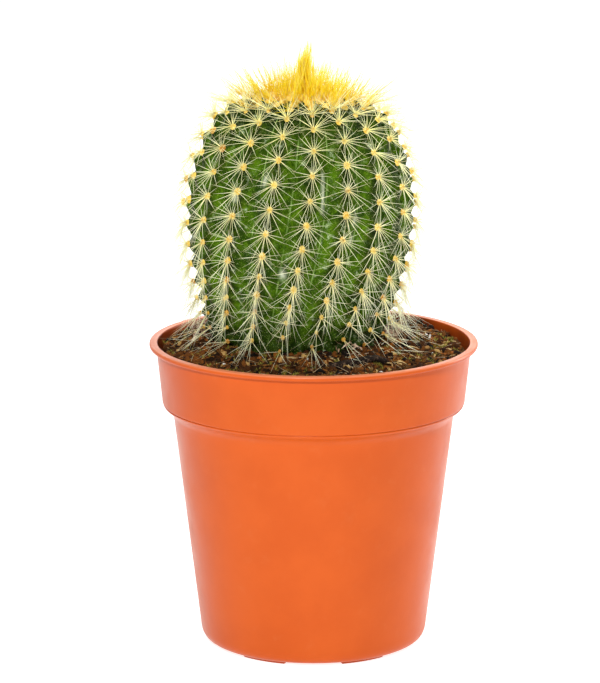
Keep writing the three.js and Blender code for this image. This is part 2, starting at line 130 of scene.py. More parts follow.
# Stretches of arc length from the apex: where the pitch widens and narrows again, where the ribs
# deepen and flatten, where the teeth begin, and where the needles change near the crown and the soil
PITCH_WIDENS = (0, 45)
PITCH_NARROWS = (58, 125)
RIBS_DEEPEN = (4, 50)
RIBS_FLATTEN = (104, 122)
TEETH_BEGIN = (10, 40)
CROWN_ENDS = (24, 52)
SOIL_NEARS = (96, 118)

# Pale marks on the skin, a scar and spots of painted highlight: ribs counted from the front one, and
# heights over the rim's level
SCAR_RIB, SCAR_HEIGHT, SCAR_SLANT = 0.36, 63, 0.006
HIGHLIGHT_SPOTS = ((-2.13, 58.9), (-1.36, 65.7), (1.4, 52.0), (1.35, 44.5), (-0.4, 31.0), (6.2, 55.0))


def unit(vectors):
    """Vectors scaled to length 1."""
    return vectors / np.maximum(np.linalg.norm(vectors, axis=-1, keepdims=True), 1e-9)


def smoothstep(value, low, high):
    """0 below low, 1 above high, and 3 t squared less 2 t cubed between them."""
    t = np.clip((np.asarray(value, float) - low) / (high - low), 0, 1)
    return t * t * (3 - 2 * t)


def bell(value, middle, width):
    """1 at the middle, falling off as e to the minus square of the distance in widths."""
    return np.exp(-(((value - middle) / width) ** 2))


def full_turn(count):
    """Angles that divide a full turn into equal steps."""
    return np.arange(count) / count * 2 * np.pi


def polar(radius, angle, height):
    """Points about the vertical axis, at an angle that starts at the front and runs anticlockwise
    seen from above."""
    radius, angle, height = np.broadcast_arrays(radius, angle, height)
    return np.stack([radius * np.sin(angle), -radius * np.cos(angle), height], axis=-1)


def lattice_noise(points, size, seed):
    """Noise from -1 to 1: each corner of a lattice of that size has a hashed value, and a point
    blends the values of the corners round it with smooth weights."""
    place = np.asarray(points, float) / size + 1000.0
    cell = np.floor(place).astype(np.int64)
    part = place - cell
    part = part * part * (3 - 2 * part)
    primes = np.array([374761393, 668265263, 1103515245])[: place.shape[-1]]
    total = np.zeros(place.shape[:-1])
    for corner in np.ndindex(*(2,) * place.shape[-1]):
        corner = np.array(corner)
        weight = np.prod(np.where(corner == 1, part, 1 - part), axis=-1)
        key = (cell + corner) @ primes + seed * 69069
        key = (key ^ (key >> 13)) * 1274126177
        value = ((key ^ (key >> 16)) & 0xFFFF) / 32767.5 - 1
        total += weight * value
    return total


def outline_curve():
    """The plant's outline: a centripetal Catmull-Rom curve through its points, sampled finely, with
    the arc length from the apex. Each stretch blends its end points and tangents by the cubic of
    Hermite, and the tangents divide by the square roots of the point distances."""
    points, samples = PLANT_OUTLINE.astype(float), 60
    p = np.vstack([2 * points[0] - points[1], points, 2 * points[-1] - points[-2]])
    step = np.linalg.norm(np.diff(p, axis=0), axis=1) ** 0.5
    before, own, after = step[:-2, None], step[1:-1, None], step[2:, None]
    p0, p1, p2, p3 = p[:-3], p[1:-2], p[2:-1], p[3:]
    t1 = ((p1 - p0) / before - (p2 - p0) / (before + own) + (p2 - p1) / own) * own
    t2 = ((p2 - p1) / own - (p3 - p1) / (own + after) + (p3 - p2) / after) * own
    t = np.linspace(0, 1, samples, endpoint=False)[None, :, None]
    p1, p2, t1, t2 = (a[:, None, :] for a in (p1, p2, t1, t2))
    curve = (
        (2 * t**3 - 3 * t**2 + 1) * p1 + (t**3 - 2 * t**2 + t) * t1
        + (3 * t**2 - 2 * t**3) * p2 + (t**3 - t**2) * t2
    )
    curve = np.vstack([curve.reshape(-1, 2), points[-1]])
    arc = np.concatenate([[0], np.cumsum(np.linalg.norm(np.diff(curve, axis=0), axis=1))])
    return curve, arc


OUTLINE, OUTLINE_ARC = outline_curve()
OUTLINE_SLOPE = np.gradient(OUTLINE, OUTLINE_ARC, axis=0)


def outline_at(arc):
    """Radius and height of the outline at an arc length from the apex, and its outward direction."""
    radius, height, along_r, along_z = (
        np.interp(arc, OUTLINE_ARC, table[:, column])
        for table in (OUTLINE, OUTLINE_SLOPE) for column in (0, 1)
    )
    return radius, height, -along_z, along_r


def row_table():
    """The areole row number at each arc length: the sum of steps divided by the local row pitch,
    with row 0 at the first rib's reference areole."""
    step = 0.5
    arc = np.arange(0, OUTLINE_ARC[-1], step)
    young = (WIDEST_PITCH - CROWN_PITCH) * (1 - smoothstep(arc, *PITCH_WIDENS))
    old = (WIDEST_PITCH - SOIL_PITCH) * smoothstep(arc, *PITCH_NARROWS)
    row = np.concatenate([[0], np.cumsum(step / (WIDEST_PITCH - young - old))[1:]])
    return arc, row - np.interp(FIRST_RIB_AREOLE, arc, row)


ROW_ARC, ROW_NUMBER = row_table()


def row_at(rib, arc):
    """The areole row number on a rib: a whole number at each areole, shifted from rib to rib by the
    spiral."""
    return np.interp(arc, ROW_ARC, ROW_NUMBER) + SPIRAL_SHIFT * rib


def rib_angle(side, height):
    """A rib's angle about the plant's axis. The twist is a straight ramp from the rim's level to the
    crown, with a bend."""
    share = np.clip(height / PLANT_TOP, 0, 1)
    ramp = TWIST_AT_RIM + (TWIST_AT_CROWN - TWIST_AT_RIM) * share
    return side / RIBS * 2 * np.pi + (ramp + TWIST_BEND * share * (1 - share) * 4)


def skin_points(side, arc, proud=0.0):
    """The skin in the plant's own frame. side counts ribs round the plant, and a whole number is a
    crest. The outline is drawn in by the rib's section, which is half a cosine wave and half one
    less the absolute cosine, and by a notch of the crest between areoles: it deepens in a straight
    line from one areole and rises more steeply to the next one down, so that each areole sits on a
    pointed tooth. A low swelling rises beside it."""
    radius, height, out_r, out_z = outline_at(arc)
    crest = np.abs(np.cos(np.pi * side))
    rib = np.round(side)
    row = row_at(rib, arc)
    part = row - np.floor(row)
    notch = np.minimum(part / NOTCH_PLACE, (1 - part) / (1 - NOTCH_PLACE))
    grown = smoothstep(arc, *RIBS_DEEPEN) * (1 - 0.65 * smoothstep(arc, *RIBS_FLATTEN))
    bumpy = smoothstep(arc, *TEETH_BEGIN)
    section = 0.5 * (1 - crest) + 0.5 * (1 - crest**2)
    inward = 0.92 * RIB_DEPTH * grown * section
    inward = inward + AREOLE_BUMP * bumpy * crest**3 * notch
    inward = inward - 0.5 * bumpy * (1 - notch) * np.sin(2 * np.pi * np.abs(side - rib)) ** 2
    r = np.maximum(radius - out_r * (inward - proud), 0)
    return polar(r, rib_angle(side, height), height - out_z * (inward - proud))


def crest_frame(rib, arc):
    """At a crest: the outward direction, the direction up the rib and the direction aside."""
    _, height, out_r, out_z = outline_at(arc)
    out = unit(polar(out_r, rib_angle(rib, height), out_z))
    up = np.zeros_like(out)
    up[..., 2] = 1
    up = unit(up - out * np.sum(up * out, axis=-1, keepdims=True) + 1e-6)
    return out, up, np.cross(up, out)


def along_crest(crest, aside_share, up_share, out_share):
    """Vectors that sum shares of a crest's three directions. The shares' first axis runs over the
    crests, or has the length 1 where every crest has the same."""
    spread = (-1, *(1,) * (np.ndim(aside_share) - 1), 3)
    out, up, aside = (way.reshape(spread) for way in crest)
    shares = (np.asarray(share)[..., None] for share in (aside_share, up_share, out_share))
    return sum(way * share for way, share in zip((aside, up, out), shares))


def areoles(first_arc, last_arc):
    """Rib number and arc length of every areole between two arc lengths."""
    ribs, arcs = [], []
    for rib in range(RIBS):
        low, high = row_at(rib, [first_arc, last_arc])
        rows = np.arange(np.ceil(low), np.floor(high) + 1) - SPIRAL_SHIFT * rib
        arcs.append(np.interp(rows, ROW_NUMBER, ROW_ARC))
        ribs.append(np.full(len(rows), float(rib)))
    return np.concatenate(ribs), np.concatenate(arcs)


def turn_to_pot(directions):
    """Directions from the plant's own frame to the pot's: a turn about Y by the lean."""
    x, y, z = np.moveaxis(directions, -1, 0)
    c, s = math.cos(LEAN), math.sin(LEAN)
    return np.stack([x * c + z * s, y, z * c - x * s], axis=-1)


def to_pot(points):
    """Points from the plant's own frame to the pot's: the same turn, and a shift."""
    return turn_to_pot(points) + [*PLANT_PLACE, POT_HEIGHT]


def soil_height(x, y):
    """The soil's surface: level at the wall, mounded round the plant, with lumps of two sizes."""
    from_plant = np.hypot(x - PLANT_PLACE[0], y)
    mound = SOIL_MOUND * (1 - smoothstep(from_plant, MOUND_START, MOUND_END))
    place = np.stack([x, y], axis=-1)
    lumps = lattice_noise(place, 9, 3) + 0.5 * lattice_noise(place, 4, 5)
    return SOIL_LEVEL + mound + SOIL_LUMPS * lumps


def mesh_object(name, points, faces, values=None, weld=False, smooth=True):
    """A piece from points in millimetres and a list of face arrays, each of one corner count, with
    named values per point. Welding merges the doubled points of poles and seams."""
    mesh = bpy.data.meshes.new(name)
    mesh.vertices.add(len(points))
    mesh.vertices.foreach_set("co", (np.asarray(points) * MM).astype(np.float32).ravel())
    corners = np.concatenate([f.ravel() for f in faces]).astype(np.int32)
    counts = np.concatenate([np.full(len(f), f.shape[1]) for f in faces])
    mesh.loops.add(len(corners))
    mesh.loops.foreach_set("vertex_index", corners)
    mesh.polygons.add(len(counts))
    starts = np.concatenate([[0], np.cumsum(counts)[:-1]]).astype(np.int32)
    mesh.polygons.foreach_set("loop_start", starts)
    for key, value in (values or {}).items():
        layer = mesh.attributes.new(key, "FLOAT", "POINT")
        layer.data.foreach_set("value", np.asarray(value, np.float32).ravel())
    mesh.update(calc_edges=True)
    mesh.validate()
    if smooth:
        mesh.shade_smooth()
    if weld:
        work = bmesh.new()
        work.from_mesh(mesh)
        bmesh.ops.remove_doubles(work, verts=work.verts, dist=1e-6)
        work.to_mesh(mesh)
        work.free()
    piece = bpy.data.objects.new(name, mesh)
    bpy.context.scene.collection.objects.link(piece)
    return piece


def grid_faces(rows, columns):
    """Quads of a grid of rows by columns, its last column joined to the first, anticlockwise from
    outside where rows run down and columns run to the right."""
    across = np.arange(columns)
    low = np.arange(rows - 1)[:, None] * columns
    here = low + across
    right = low + (across + 1) % columns
    return np.stack([here, here + columns, right + columns, right], axis=-1).reshape(-1, 4)


def repeat_faces(faces, count, size):
    """The faces of one shape of that many points, repeated for each of so many shapes."""
    shift = np.arange(count)[:, None, None] * size
    return (np.asarray(faces) + shift).reshape(-1, np.shape(faces)[1])


def needle_shapes(roots, tips, sag, thickness, sides=3, segments=5, flat=1.0):
    """Tapering round needles, with the share of the length that each point stands at. Ring j is at
    root + (tip - root) t + 4 sag t (1 - t), where t is j over the segments, and its radius is half
    the thickness times (1 - t) to the power 0.8. A flat below 1 thins them across one direction."""
    count = len(roots)
    along = unit(tips - roots)
    helper = np.where(np.abs(along[:, 2:3]) > 0.8, [[1.0, 0, 0]], [[0, 0, 1.0]])
    aside = unit(np.cross(along, helper))
    other = flat * np.cross(along, aside)
    t = np.arange(segments) / segments
    turn = full_turn(sides)[:, None]
    middle = roots[:, None] + (tips - roots)[:, None] * t[:, None]
    middle = middle + 4 * sag[:, None] * (t * (1 - t))[:, None]
    radius = 0.5 * np.broadcast_to(thickness, (count,))[:, None] * (1 - t) ** 0.8
    ring = aside[:, None] * np.cos(turn) + other[:, None] * np.sin(turn)
    body = middle[:, :, None] + radius[:, :, None, None] * ring[:, None]
    points = np.concatenate([body.reshape(count, -1, 3), tips[:, None]], axis=1)
    last = (segments - 1) * sides
    tip_faces = [(last + s, last + (s + 1) % sides, segments * sides) for s in range(sides)]
    root_face = np.arange(sides)[::-1][None]
    groups = (grid_faces(segments, sides)[:, ::-1], tip_faces, root_face)
    groups = [repeat_faces(faces, count, points.shape[1]) for faces in groups]
    share = np.tile(np.append(np.repeat(t, sides), 1), count)
    return points.reshape(-1, 3), groups, share


def lump_shapes(centres, sizes, turns, seed):
    """Crumbs: a ball of 20 faces at each centre, its corners moved by chance, scaled by a size for
    each axis and turned about X and Z."""
    rng = np.random.default_rng(seed)
    count, around, corners = len(centres), 5, 12
    waist, level, half_step, unevenness = 0.89, 0.45, 0.63, 0.38
    ring = full_turn(around)
    upper, lower = (
        np.column_stack([waist * np.cos(turn), waist * np.sin(turn), np.full(around, height)])
        for turn, height in ((ring, level), (ring + half_step, -level))
    )
    ball = np.vstack([[(0, 0, 1)], upper, lower, [(0, 0, -1)]])
    shape = (ball + unevenness * rng.uniform(-1, 1, (count, corners, 3))) * sizes[:, None]
    c, s = np.cos(turns), np.sin(turns)
    x, y, z = np.moveaxis(shape, -1, 0)
    y, z = y * c[:, 1:2] - z * s[:, 1:2], y * s[:, 1:2] + z * c[:, 1:2]
    x, y = x * c[:, 0:1] - y * s[:, 0:1], x * s[:, 0:1] + y * c[:, 0:1]
    points = np.stack([x, y, z], axis=-1) + centres[:, None]
    faces = []
    for i in range(around):
        j = (i + 1) % around
        faces += [(0, 1 + i, 1 + j), (1 + i, 6 + i, 1 + j), (1 + j, 6 + i, 6 + j), (11, 6 + j, 6 + i)]
    return points.reshape(-1, 3), [repeat_faces(faces, count, corners)]


def ride(piece, slot, material, *nodes):
    """Sets a piece's finish, hides the nodes that it stands for, and lets it ride on the one body."""
    piece.data.materials.clear()
    piece.data.materials.append(material)
    if nodes:
        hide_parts(*nodes)
    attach(piece, "root")


# Camera


def add_camera():
    """The photograph's camera, in front of the pot and a little above it, looking down."""
    level = math.cos(VIEW_PITCH)
    forward = Vector(
        (-math.sin(VIEW_YAW) * level, math.cos(VIEW_YAW) * level, -math.sin(VIEW_PITCH))
    )
    right = forward.cross(Vector((0, 0, 1))).normalized()
    up = right.cross(forward)
    camera = bpy.data.objects.new("camera", bpy.data.cameras.new("camera"))
    camera.data.lens = VIEW_LENS
    camera.data.sensor_width = SENSOR_WIDTH
    camera.data.clip_end = VIEW_LIMIT * MM
    turn = Matrix((right, up, -forward)).transposed().to_4x4()
    camera.matrix_world = Matrix.Translation(Vector((0, -VIEW_DISTANCE, VIEW_HEIGHT)) * MM) @ turn
    bpy.context.scene.collection.objects.link(camera)
    bpy.context.scene.camera = camera


add_camera()


# Shader helpers and shared effects


def feed(tree, socket, value):
    """Links another node's output to a socket, or sets the socket's plain value, with an alpha of 1
    for a colour."""
    if isinstance(value, bpy.types.NodeSocket):
        tree.links.new(value, socket)
    elif socket.type == "RGBA":
        socket.default_value = (*value, 1)
    else:
        socket.default_value = value


def add_node(tree, kind, settings=None, **inputs):
    """A shader node with its settings and the values or links of its inputs, by input name."""
    node = tree.nodes.new(kind)
    for key, value in (settings or {}).items():
        setattr(node, key, value)
    for key, value in inputs.items():
        feed(tree, node.inputs[key.replace("_", " ")], value)
    return node


def attribute(tree, name):
    """The value that a mesh carries under a name."""
    return add_node(tree, "ShaderNodeAttribute", {"attribute_name": name}).outputs["Fac"]


def maths(tree, operation, a, b):
    """A Math node on two values."""
    node = add_node(tree, "ShaderNodeMath", {"operation": operation})
    feed(tree, node.inputs[0], a)
    feed(tree, node.inputs[1], b)
    return node.outputs[0]


def times(tree, a, b):
    """The product of two masks, or of a mask and a number."""
    return maths(tree, "MULTIPLY", a, b)


def between(tree, mask, low, high):
    """A value that goes from low to high as the mask goes from 0 to 1."""
    return maths(tree, "ADD", times(tree, mask, high - low), low)


def ramp(tree, fac, stops):
    """A colour ramp: stops are pairs of a position and a colour in linear red, green and blue."""
    node = tree.nodes.new("ShaderNodeValToRGB")
    node.color_ramp.interpolation = "EASE" if len(stops) == 2 else "LINEAR"
    while len(node.color_ramp.elements) < len(stops):
        node.color_ramp.elements.new(0.5)
    for element, (position, colour) in zip(node.color_ramp.elements, stops):
        element.position = position
        element.color = (*colour, 1)
    feed(tree, node.inputs[0], fac)
    return node.outputs[0]


def over_edge(tree, value, low, high):
    """A mask that eases from 0 to 1 as a value passes from low to high."""
    return ramp(tree, value, [(low, (0, 0, 0)), (high, (1, 1, 1))])


def blend(tree, fac, a, b, how="MIX"):
    """A Mix node between two colours."""
    node = add_node(tree, "ShaderNodeMix", {"data_type": "RGBA", "blend_type": how})
    for index, value in ((0, fac), (6, a), (7, b)):
        feed(tree, node.inputs[index], value)
    return node.outputs[2]


def layers(tree, base, *rows):
    """Lays colours over a base one by one. A row is a mask, a strength and a colour."""
    for mask, strength, colour in rows:
        base = blend(tree, times(tree, mask, strength), base, colour)
    return base


def new_group(name, inputs, output, kind):
    """An empty shader node group with named number inputs and one output, and its end nodes."""
    group = bpy.data.node_groups.new(name, "ShaderNodeTree")
    for label, default in inputs.items():
        socket = group.interface.new_socket(label, in_out="INPUT", socket_type="NodeSocketFloat")
        socket.default_value = default
    group.interface.new_socket(output, in_out="OUTPUT", socket_type=kind)
    return group, group.nodes.new("NodeGroupInput").outputs, group.nodes.new("NodeGroupOutput")


def object_noise(tree, scale, detail, roughness):
    """Fractal noise on object coordinates."""
    place = add_node(tree, "ShaderNodeTexCoord").outputs["Object"]
    return add_node(
        tree, "ShaderNodeTexNoise", Vector=place, Scale=scale, Detail=detail, Roughness=roughness,
    ).outputs[0]


def patches_group():
    """Soft patches: fractal noise on object coordinates, stretched to a mask from 0 to 1."""
    group, given, out = new_group(
        "patches", {"Scale": 100.0, "Roughness": 0.6, "From": 0.4, "To": 0.6}, "Mask", "NodeSocketFloat",
    )
    span = add_node(
        group, "ShaderNodeMapRange", {"interpolation_type": "SMOOTHSTEP"},
        Value=object_noise(group, given["Scale"], 5.0, given["Roughness"]),
        From_Min=given["From"], From_Max=given["To"],
    )
    feed(group, out.inputs["Mask"], span.outputs[0])
    return group


def flecks_group():
    """Small round flecks: the distance to the nearest of scattered points, kept under a size."""
    group, given, out = new_group(
        "flecks", {"Scale": 900.0, "Size": 0.25, "Softness": 0.1}, "Mask", "NodeSocketFloat",
    )
    place = add_node(group, "ShaderNodeTexCoord").outputs["Object"]
    cells = add_node(group, "ShaderNodeTexVoronoi", Vector=place, Scale=given["Scale"])
    span = add_node(
        group, "ShaderNodeMapRange", {"interpolation_type": "SMOOTHSTEP"},
        Value=cells.outputs["Distance"], From_Min=given["Size"],
        From_Max=maths(group, "ADD", given["Size"], given["Softness"]), To_Min=1.0, To_Max=0.0,
    )
    feed(group, out.inputs["Mask"], span.outputs[0])
    return group


def grain_group():
    """Surface grain: fractal noise on object coordinates as the height of a bump."""
    group, given, out = new_group(
        "grain", {"Scale": 1500.0, "Strength": 0.3, "Depth": 0.0002}, "Normal", "NodeSocketVector",
    )
    bump = add_node(
        group, "ShaderNodeBump", Strength=given["Strength"], Distance=given["Depth"],
        Height=object_noise(group, given["Scale"], 6.0, 0.6),
    )
    feed(group, out.inputs["Normal"], bump.outputs[0])
    return group


PATCHES, FLECKS, GRAIN = patches_group(), flecks_group(), grain_group()


def effect(tree, group, **values):
    """Places a shared effect in a material with its own values, and gives its output."""
    return add_node(tree, "ShaderNodeGroup", {"node_tree": group}, **values).outputs[0]


def patches(tree, scale, low, high, roughness=0.6):
    """The patches effect, as a mask that is 0 where the noise is under low and 1 over high."""
    return effect(tree, PATCHES, Scale=scale, Roughness=roughness, From=low, To=high)


def flecks(tree, scale, size, softness):
    """The flecks effect."""
    return effect(tree, FLECKS, Scale=scale, Size=size, Softness=softness)


def new_material(name):
    """A material with a Principled shader, and its node tree."""
    material = bpy.data.materials.new(name)
    material.use_nodes = True
    return material, material.node_tree


def dress(material, base, roughness, grain=None, **values):
    """Feeds a material's shader: its base colour, its roughness, the grain effect by scale, strength
    and depth, and other inputs by name."""
    tree = material.node_tree
    if grain:
        values["Normal"] = effect(tree, GRAIN, Scale=grain[0], Strength=grain[1], Depth=grain[2])
    shader = tree.nodes["Principled BSDF"]
    for key, value in {"Base_Color": base, "Roughness": roughness, **values}.items():
        feed(tree, shader.inputs[key.replace("_", " ")], value)
    return material


# Materials

PEAT_BLACK = (0.004, 0.002, 0.001)


def pot_plastic():
    """Moulded orange plastic: nearly even orange, a little dusty, with painted shade in the creases,
    a painted highlight on the rim's top, and painted shade, in patches, on the inside."""
    material, tree = new_material("pot_plastic")
    cloud = patches(tree, 45, 0.3, 0.7)
    dust = patches(tree, 160, 0.56, 0.8)
    speck = flecks(tree, 330, 0.03, 0.03)
    # Painted shade on the inside wall, patchy in strength.
    inside_shade = between(tree, patches(tree, 120, 0.25, 0.7), 0.7, 0.95)
    # The crease, rim and inside layers are painted light: shade in the creases, a highlight on the rim's
    # top, shade on the inside wall.
    base = layers(
        tree, blend(tree, cloud, (0.515, 0.078, 0.006), (0.555, 0.089, 0.008)),
        (dust, 0.08, (0.6, 0.22, 0.08)),
        (speck, 0.18, (0.25, 0.06, 0.02)),
        (attribute(tree, "crease_shade"), 0.22, (0.3, 0.022, 0.001)),
        (attribute(tree, "rim_highlight"), 0.62, (0.85, 0.38, 0.22)),
        (attribute(tree, "inside"), inside_shade, (0.09, 0.012, 0.002)),
    )
    wear = between(tree, patches(tree, 70, 0.35, 0.7), 0.3, 0.4)
    return dress(material, base, wear, (900, 0.05, 0.0003), Specular_IOR_Level=0.17)


def soil_finish():
    """Peaty soil: near black to red-brown by patches, with warm bits and dull moss in places."""
    material, tree = new_material("soil")
    peat = patches(tree, 260, 0.35, 0.68, 0.75)
    warm = patches(tree, 620, 0.55, 0.72, 0.8)
    moss = patches(tree, 90, 0.52, 0.68, 0.7)
    base = layers(
        tree, blend(tree, peat, PEAT_BLACK, (0.15, 0.065, 0.02)),
        (warm, 0.6, (0.3, 0.12, 0.025)),
        (moss, 0.65, (0.07, 0.065, 0.011)),
    )
    return dress(material, base, 0.92, (1100, 0.9, 0.0008), Specular_IOR_Level=0.1)


def scrap_finish(name, dark, light, roughness, bright=None, brightest=0.94):
    """Loose bits: a colour between dark and light by each bit's own shade, mottled, with an
    optional bright colour for the bits whose shade is about the brightest or over it."""
    material, tree = new_material(name)
    shade = attribute(tree, "shade")
    base = blend(tree, shade, dark, light)
    if bright:
        base = blend(tree, over_edge(tree, shade, brightest - 0.04, brightest + 0.04), base, bright)
    mottle = patches(tree, 1400, 0.35, 0.65, 0.7)
    base = layers(tree, base, (mottle, 0.4, dark))
    return dress(material, base, roughness, (2500, 0.4, 0.0002), Specular_IOR_Level=0.12)


def cactus_skin():
    """Waxy green skin: bright on the faces, with painted shade at the crests and in the valleys, deeper
    by patches, with painted shade under the areoles, near the soil and near the crown, with fine lines
    that rise from each valley to the crests, a thin pale line in the valley, pale smudges that are painted
    highlights, pores that are partly painted glints, and a long scar."""
    material, tree = new_material("cactus_skin")
    # Painted shade: the ramp is darker at the crests, where the needles shade them, and darker in the
    # valleys.
    valley = attribute(tree, "valley")
    base = ramp(tree, valley, [
        (0.0, (0.06, 0.1, 0.003)), (0.25, (0.08, 0.165, 0.003)), (0.65, (0.08, 0.175, 0.003)),
        (1.0, (0.04, 0.095, 0.002)),
    ])
    cloud = patches(tree, 170, 0.4, 0.62, 0.7)
    mottle = patches(tree, 900, 0.42, 0.62, 0.8)
    # The last layer is painted shade under the areoles, near the soil and near the crown.
    base = layers(
        tree, base,
        (cloud, 0.85, (0.006, 0.02, 0.0005)),
        (mottle, 0.55, (0.012, 0.04, 0.001)),
        (attribute(tree, "under"), 0.9, (0.004, 0.009, 0.001)),
    )
    lines = add_node(
        tree, "ShaderNodeTexNoise", {"noise_dimensions": "1D"}, W=attribute(tree, "chevron"),
        Scale=1.5, Detail=3.0, Roughness=0.6,
    ).outputs[0]
    lines = ramp(tree, lines, [(0.4, (0.72, 0.72, 0.72)), (0.6, (1.2, 1.2, 1.2))])
    base = blend(tree, 0.8, base, lines, "MULTIPLY")
    seam = times(tree, over_edge(tree, valley, 0.9, 0.99), patches(tree, 110, 0.42, 0.6))
    # Painted highlights: pale smudges on the skin's faces.
    painted_highlight = times(tree, patches(tree, 330, 0.55, 0.68, 0.85), patches(tree, 60, 0.38, 0.56, 0.4))
    # Pale pores, made strong enough to serve also as painted glints.
    pore_and_glint = flecks(tree, 1500, 0.1, 0.2)
    # The scar mask also carries the spots of painted highlight.
    scar_and_highlight = times(tree, attribute(tree, "scar_and_highlight"), patches(tree, 700, 0.22, 0.5))
    base = layers(
        tree, base,
        (seam, 0.8, (0.24, 0.38, 0.09)),
        (painted_highlight, 0.85, (0.42, 0.5, 0.3)),
        (pore_and_glint, 0.6, (0.24, 0.36, 0.07)),
        (scar_and_highlight, 0.95, (0.62, 0.66, 0.5)),
    )
    wax = between(tree, patches(tree, 300, 0.3, 0.7), 0.45, 0.7)
    return dress(
        material, base, wax, (900, 0.7, 0.0005), Specular_IOR_Level=0.03,
        Subsurface_Weight=0.08, Subsurface_Scale=0.001, Subsurface_Radius=(0.4, 1.0, 0.2),
    )


def felt_finish():
    """Woolly felt of the areoles: warm yellow-orange, browner by each pad's shade."""
    material, tree = new_material("areole_felt")
    base = ramp(tree, attribute(tree, "shade"), [
        (0.0, (0.9, 0.68, 0.14)), (0.6, (0.83, 0.52, 0.06)), (1.0, (0.42, 0.12, 0.01)),
    ])
    fuzz = patches(tree, 2600, 0.4, 0.62, 0.8)
    base = layers(tree, base, (fuzz, 0.45, (0.9, 0.66, 0.14)))
    return dress(
        material, base, 0.9, (3200, 0.8, 0.0003), Specular_IOR_Level=0.15, Sheen_Weight=0.1,
    )


def needle_finish(name, stops, shadow, glow, depth, mark, tint):
    """Needles: a colour along their length, darker by each needle's own shade, with a dry gloss, a
    faint painted glow, emission that stands in for the light that comes through them, and a tint where the
    mesh carries a mark."""
    material, tree = new_material(name)
    streak = patches(tree, 1500, 0.35, 0.65)
    plain = layers(
        tree, ramp(tree, attribute(tree, "along"), stops),
        (attribute(tree, "shade"), 0.65, shadow),
        (streak, 0.12, shadow),
    )
    # The emission is painted light, a glow in place of light that comes through the needles.
    return dress(
        material, blend(tree, attribute(tree, mark), plain, tint), 0.42, Specular_IOR_Level=0.3,
        Emission_Color=plain, Emission_Strength=glow, Subsurface_Weight=depth,
        Subsurface_Scale=0.002, Subsurface_Radius=(1.0, 0.85, 0.4),
    )


def twig_bark():
    """Weathered bark: near black, with grey-brown patches."""
    material, tree = new_material("twig")
    ridge = patches(tree, 600, 0.5, 0.64, 0.8)
    base = blend(tree, ridge, (0.012, 0.007, 0.005), (0.15, 0.095, 0.06))
    return dress(material, base, 0.85, (1500, 0.8, 0.0005), Specular_IOR_Level=0.12)


# Pot


def straight(start, end, steps):
    """Points from start towards end, closer together near both ends, without the end itself."""
    t = 0.5 - 0.5 * np.cos(np.linspace(0, np.pi, steps + 1)[:-1])
    return np.array(start) + (np.array(end) - np.array(start)) * t[:, None]


def bend(start, control, end, steps=8):
    """A quadratic curve from start towards end, drawn to the control point, without the end."""
    t = np.linspace(0, 1, steps, endpoint=False)[:, None]
    start, control, end = map(np.array, (start, control, end))
    return start * (1 - t) ** 2 + control * 2 * t * (1 - t) + end * t**2


def pot_section():
    """The pot's section as radius and height, in two runs. The outer one goes along the base, round
    its corner, up the wall, out along the collar's sloped underside to the fine groove at its edge,
    up the collar and round the rim's bead. The inner one goes down the inside and along the floor."""
    foot = (BODY_FOOT_RADIUS, FOOT_HEIGHT + 5)
    neck = (BODY_TOP_RADIUS, BODY_TOP)
    slope = (COLLAR_RADIUS - 1.6, COLLAR_EDGE - 1.5)
    edge = (COLLAR_RADIUS - 0.35, COLLAR_EDGE - 0.2)
    groove = (COLLAR_RADIUS - 0.65, COLLAR_EDGE)
    ledge = (COLLAR_RADIUS - 0.2, COLLAR_EDGE + 0.3)
    collar = (COLLAR_RADIUS, COLLAR_BOTTOM)
    lip = (RIM_RADIUS - RIM_OVERHANG, POT_HEIGHT - BEAD_HEIGHT)
    under_lip = (lip[0] - 0.15, lip[1] - 0.35)
    bead_foot = (lip[0] + 0.5, lip[1])
    bead = (RIM_RADIUS, POT_HEIGHT - BEAD_HEIGHT / 2)
    top = (RIM_RADIUS - 0.7, POT_HEIGHT)
    brink = (RIM_RADIUS - 2.5, POT_HEIGHT)
    inner_lip = (RIM_RADIUS - RIM_OVERHANG - 0.7, POT_HEIGHT - 1)
    inner_collar = (COLLAR_RADIUS - WALL - 0.4, BODY_TOP + 4.2)
    inner_neck = (BODY_TOP_RADIUS - WALL, BODY_TOP + 0.8)
    inner_foot = (BODY_FOOT_RADIUS - WALL, FOOT_HEIGHT + 6)
    floor = (BASE_RADIUS, FLOOR_TOP)
    outer = [
        straight((0, FOOT_HEIGHT), (BASE_RADIUS, FOOT_HEIGHT), 6),
        bend((BASE_RADIUS, FOOT_HEIGHT), (BODY_FOOT_RADIUS - 0.4, FOOT_HEIGHT + 0.3), foot, 10),
        straight(foot, neck, 10),
        bend(neck, (BODY_TOP_RADIUS + 0.6, BODY_TOP + 1.7), slope, 10),
        bend(slope, (edge[0] - 0.2, edge[1] - 0.7), edge, 6),
        straight(edge, groove, 2),
        straight(groove, ledge, 2),
        bend(ledge, (COLLAR_RADIUS - 0.05, COLLAR_EDGE + 0.6), collar, 4),
        straight(collar, under_lip, 6),
        bend(under_lip, lip, bead_foot, 4),
        bend(bead_foot, (RIM_RADIUS, lip[1]), bead),
        bend(bead, (RIM_RADIUS, POT_HEIGHT), top),
        straight(top, brink, 2),
    ]
    inner = [
        bend(brink, (inner_lip[0], POT_HEIGHT), inner_lip),
        straight(inner_lip, inner_collar, 6),
        bend(inner_collar, (inner_collar[0] - 0.2, inner_neck[1] + 1), inner_neck, 6),
        straight(inner_neck, inner_foot, 8),
        bend(inner_foot, (inner_foot[0] - 0.5, FLOOR_TOP), floor),
        straight(floor, (0, FLOOR_TOP), 6),
        np.array([(0, FLOOR_TOP)]),
    ]
    return np.concatenate(outer), np.concatenate(inner)


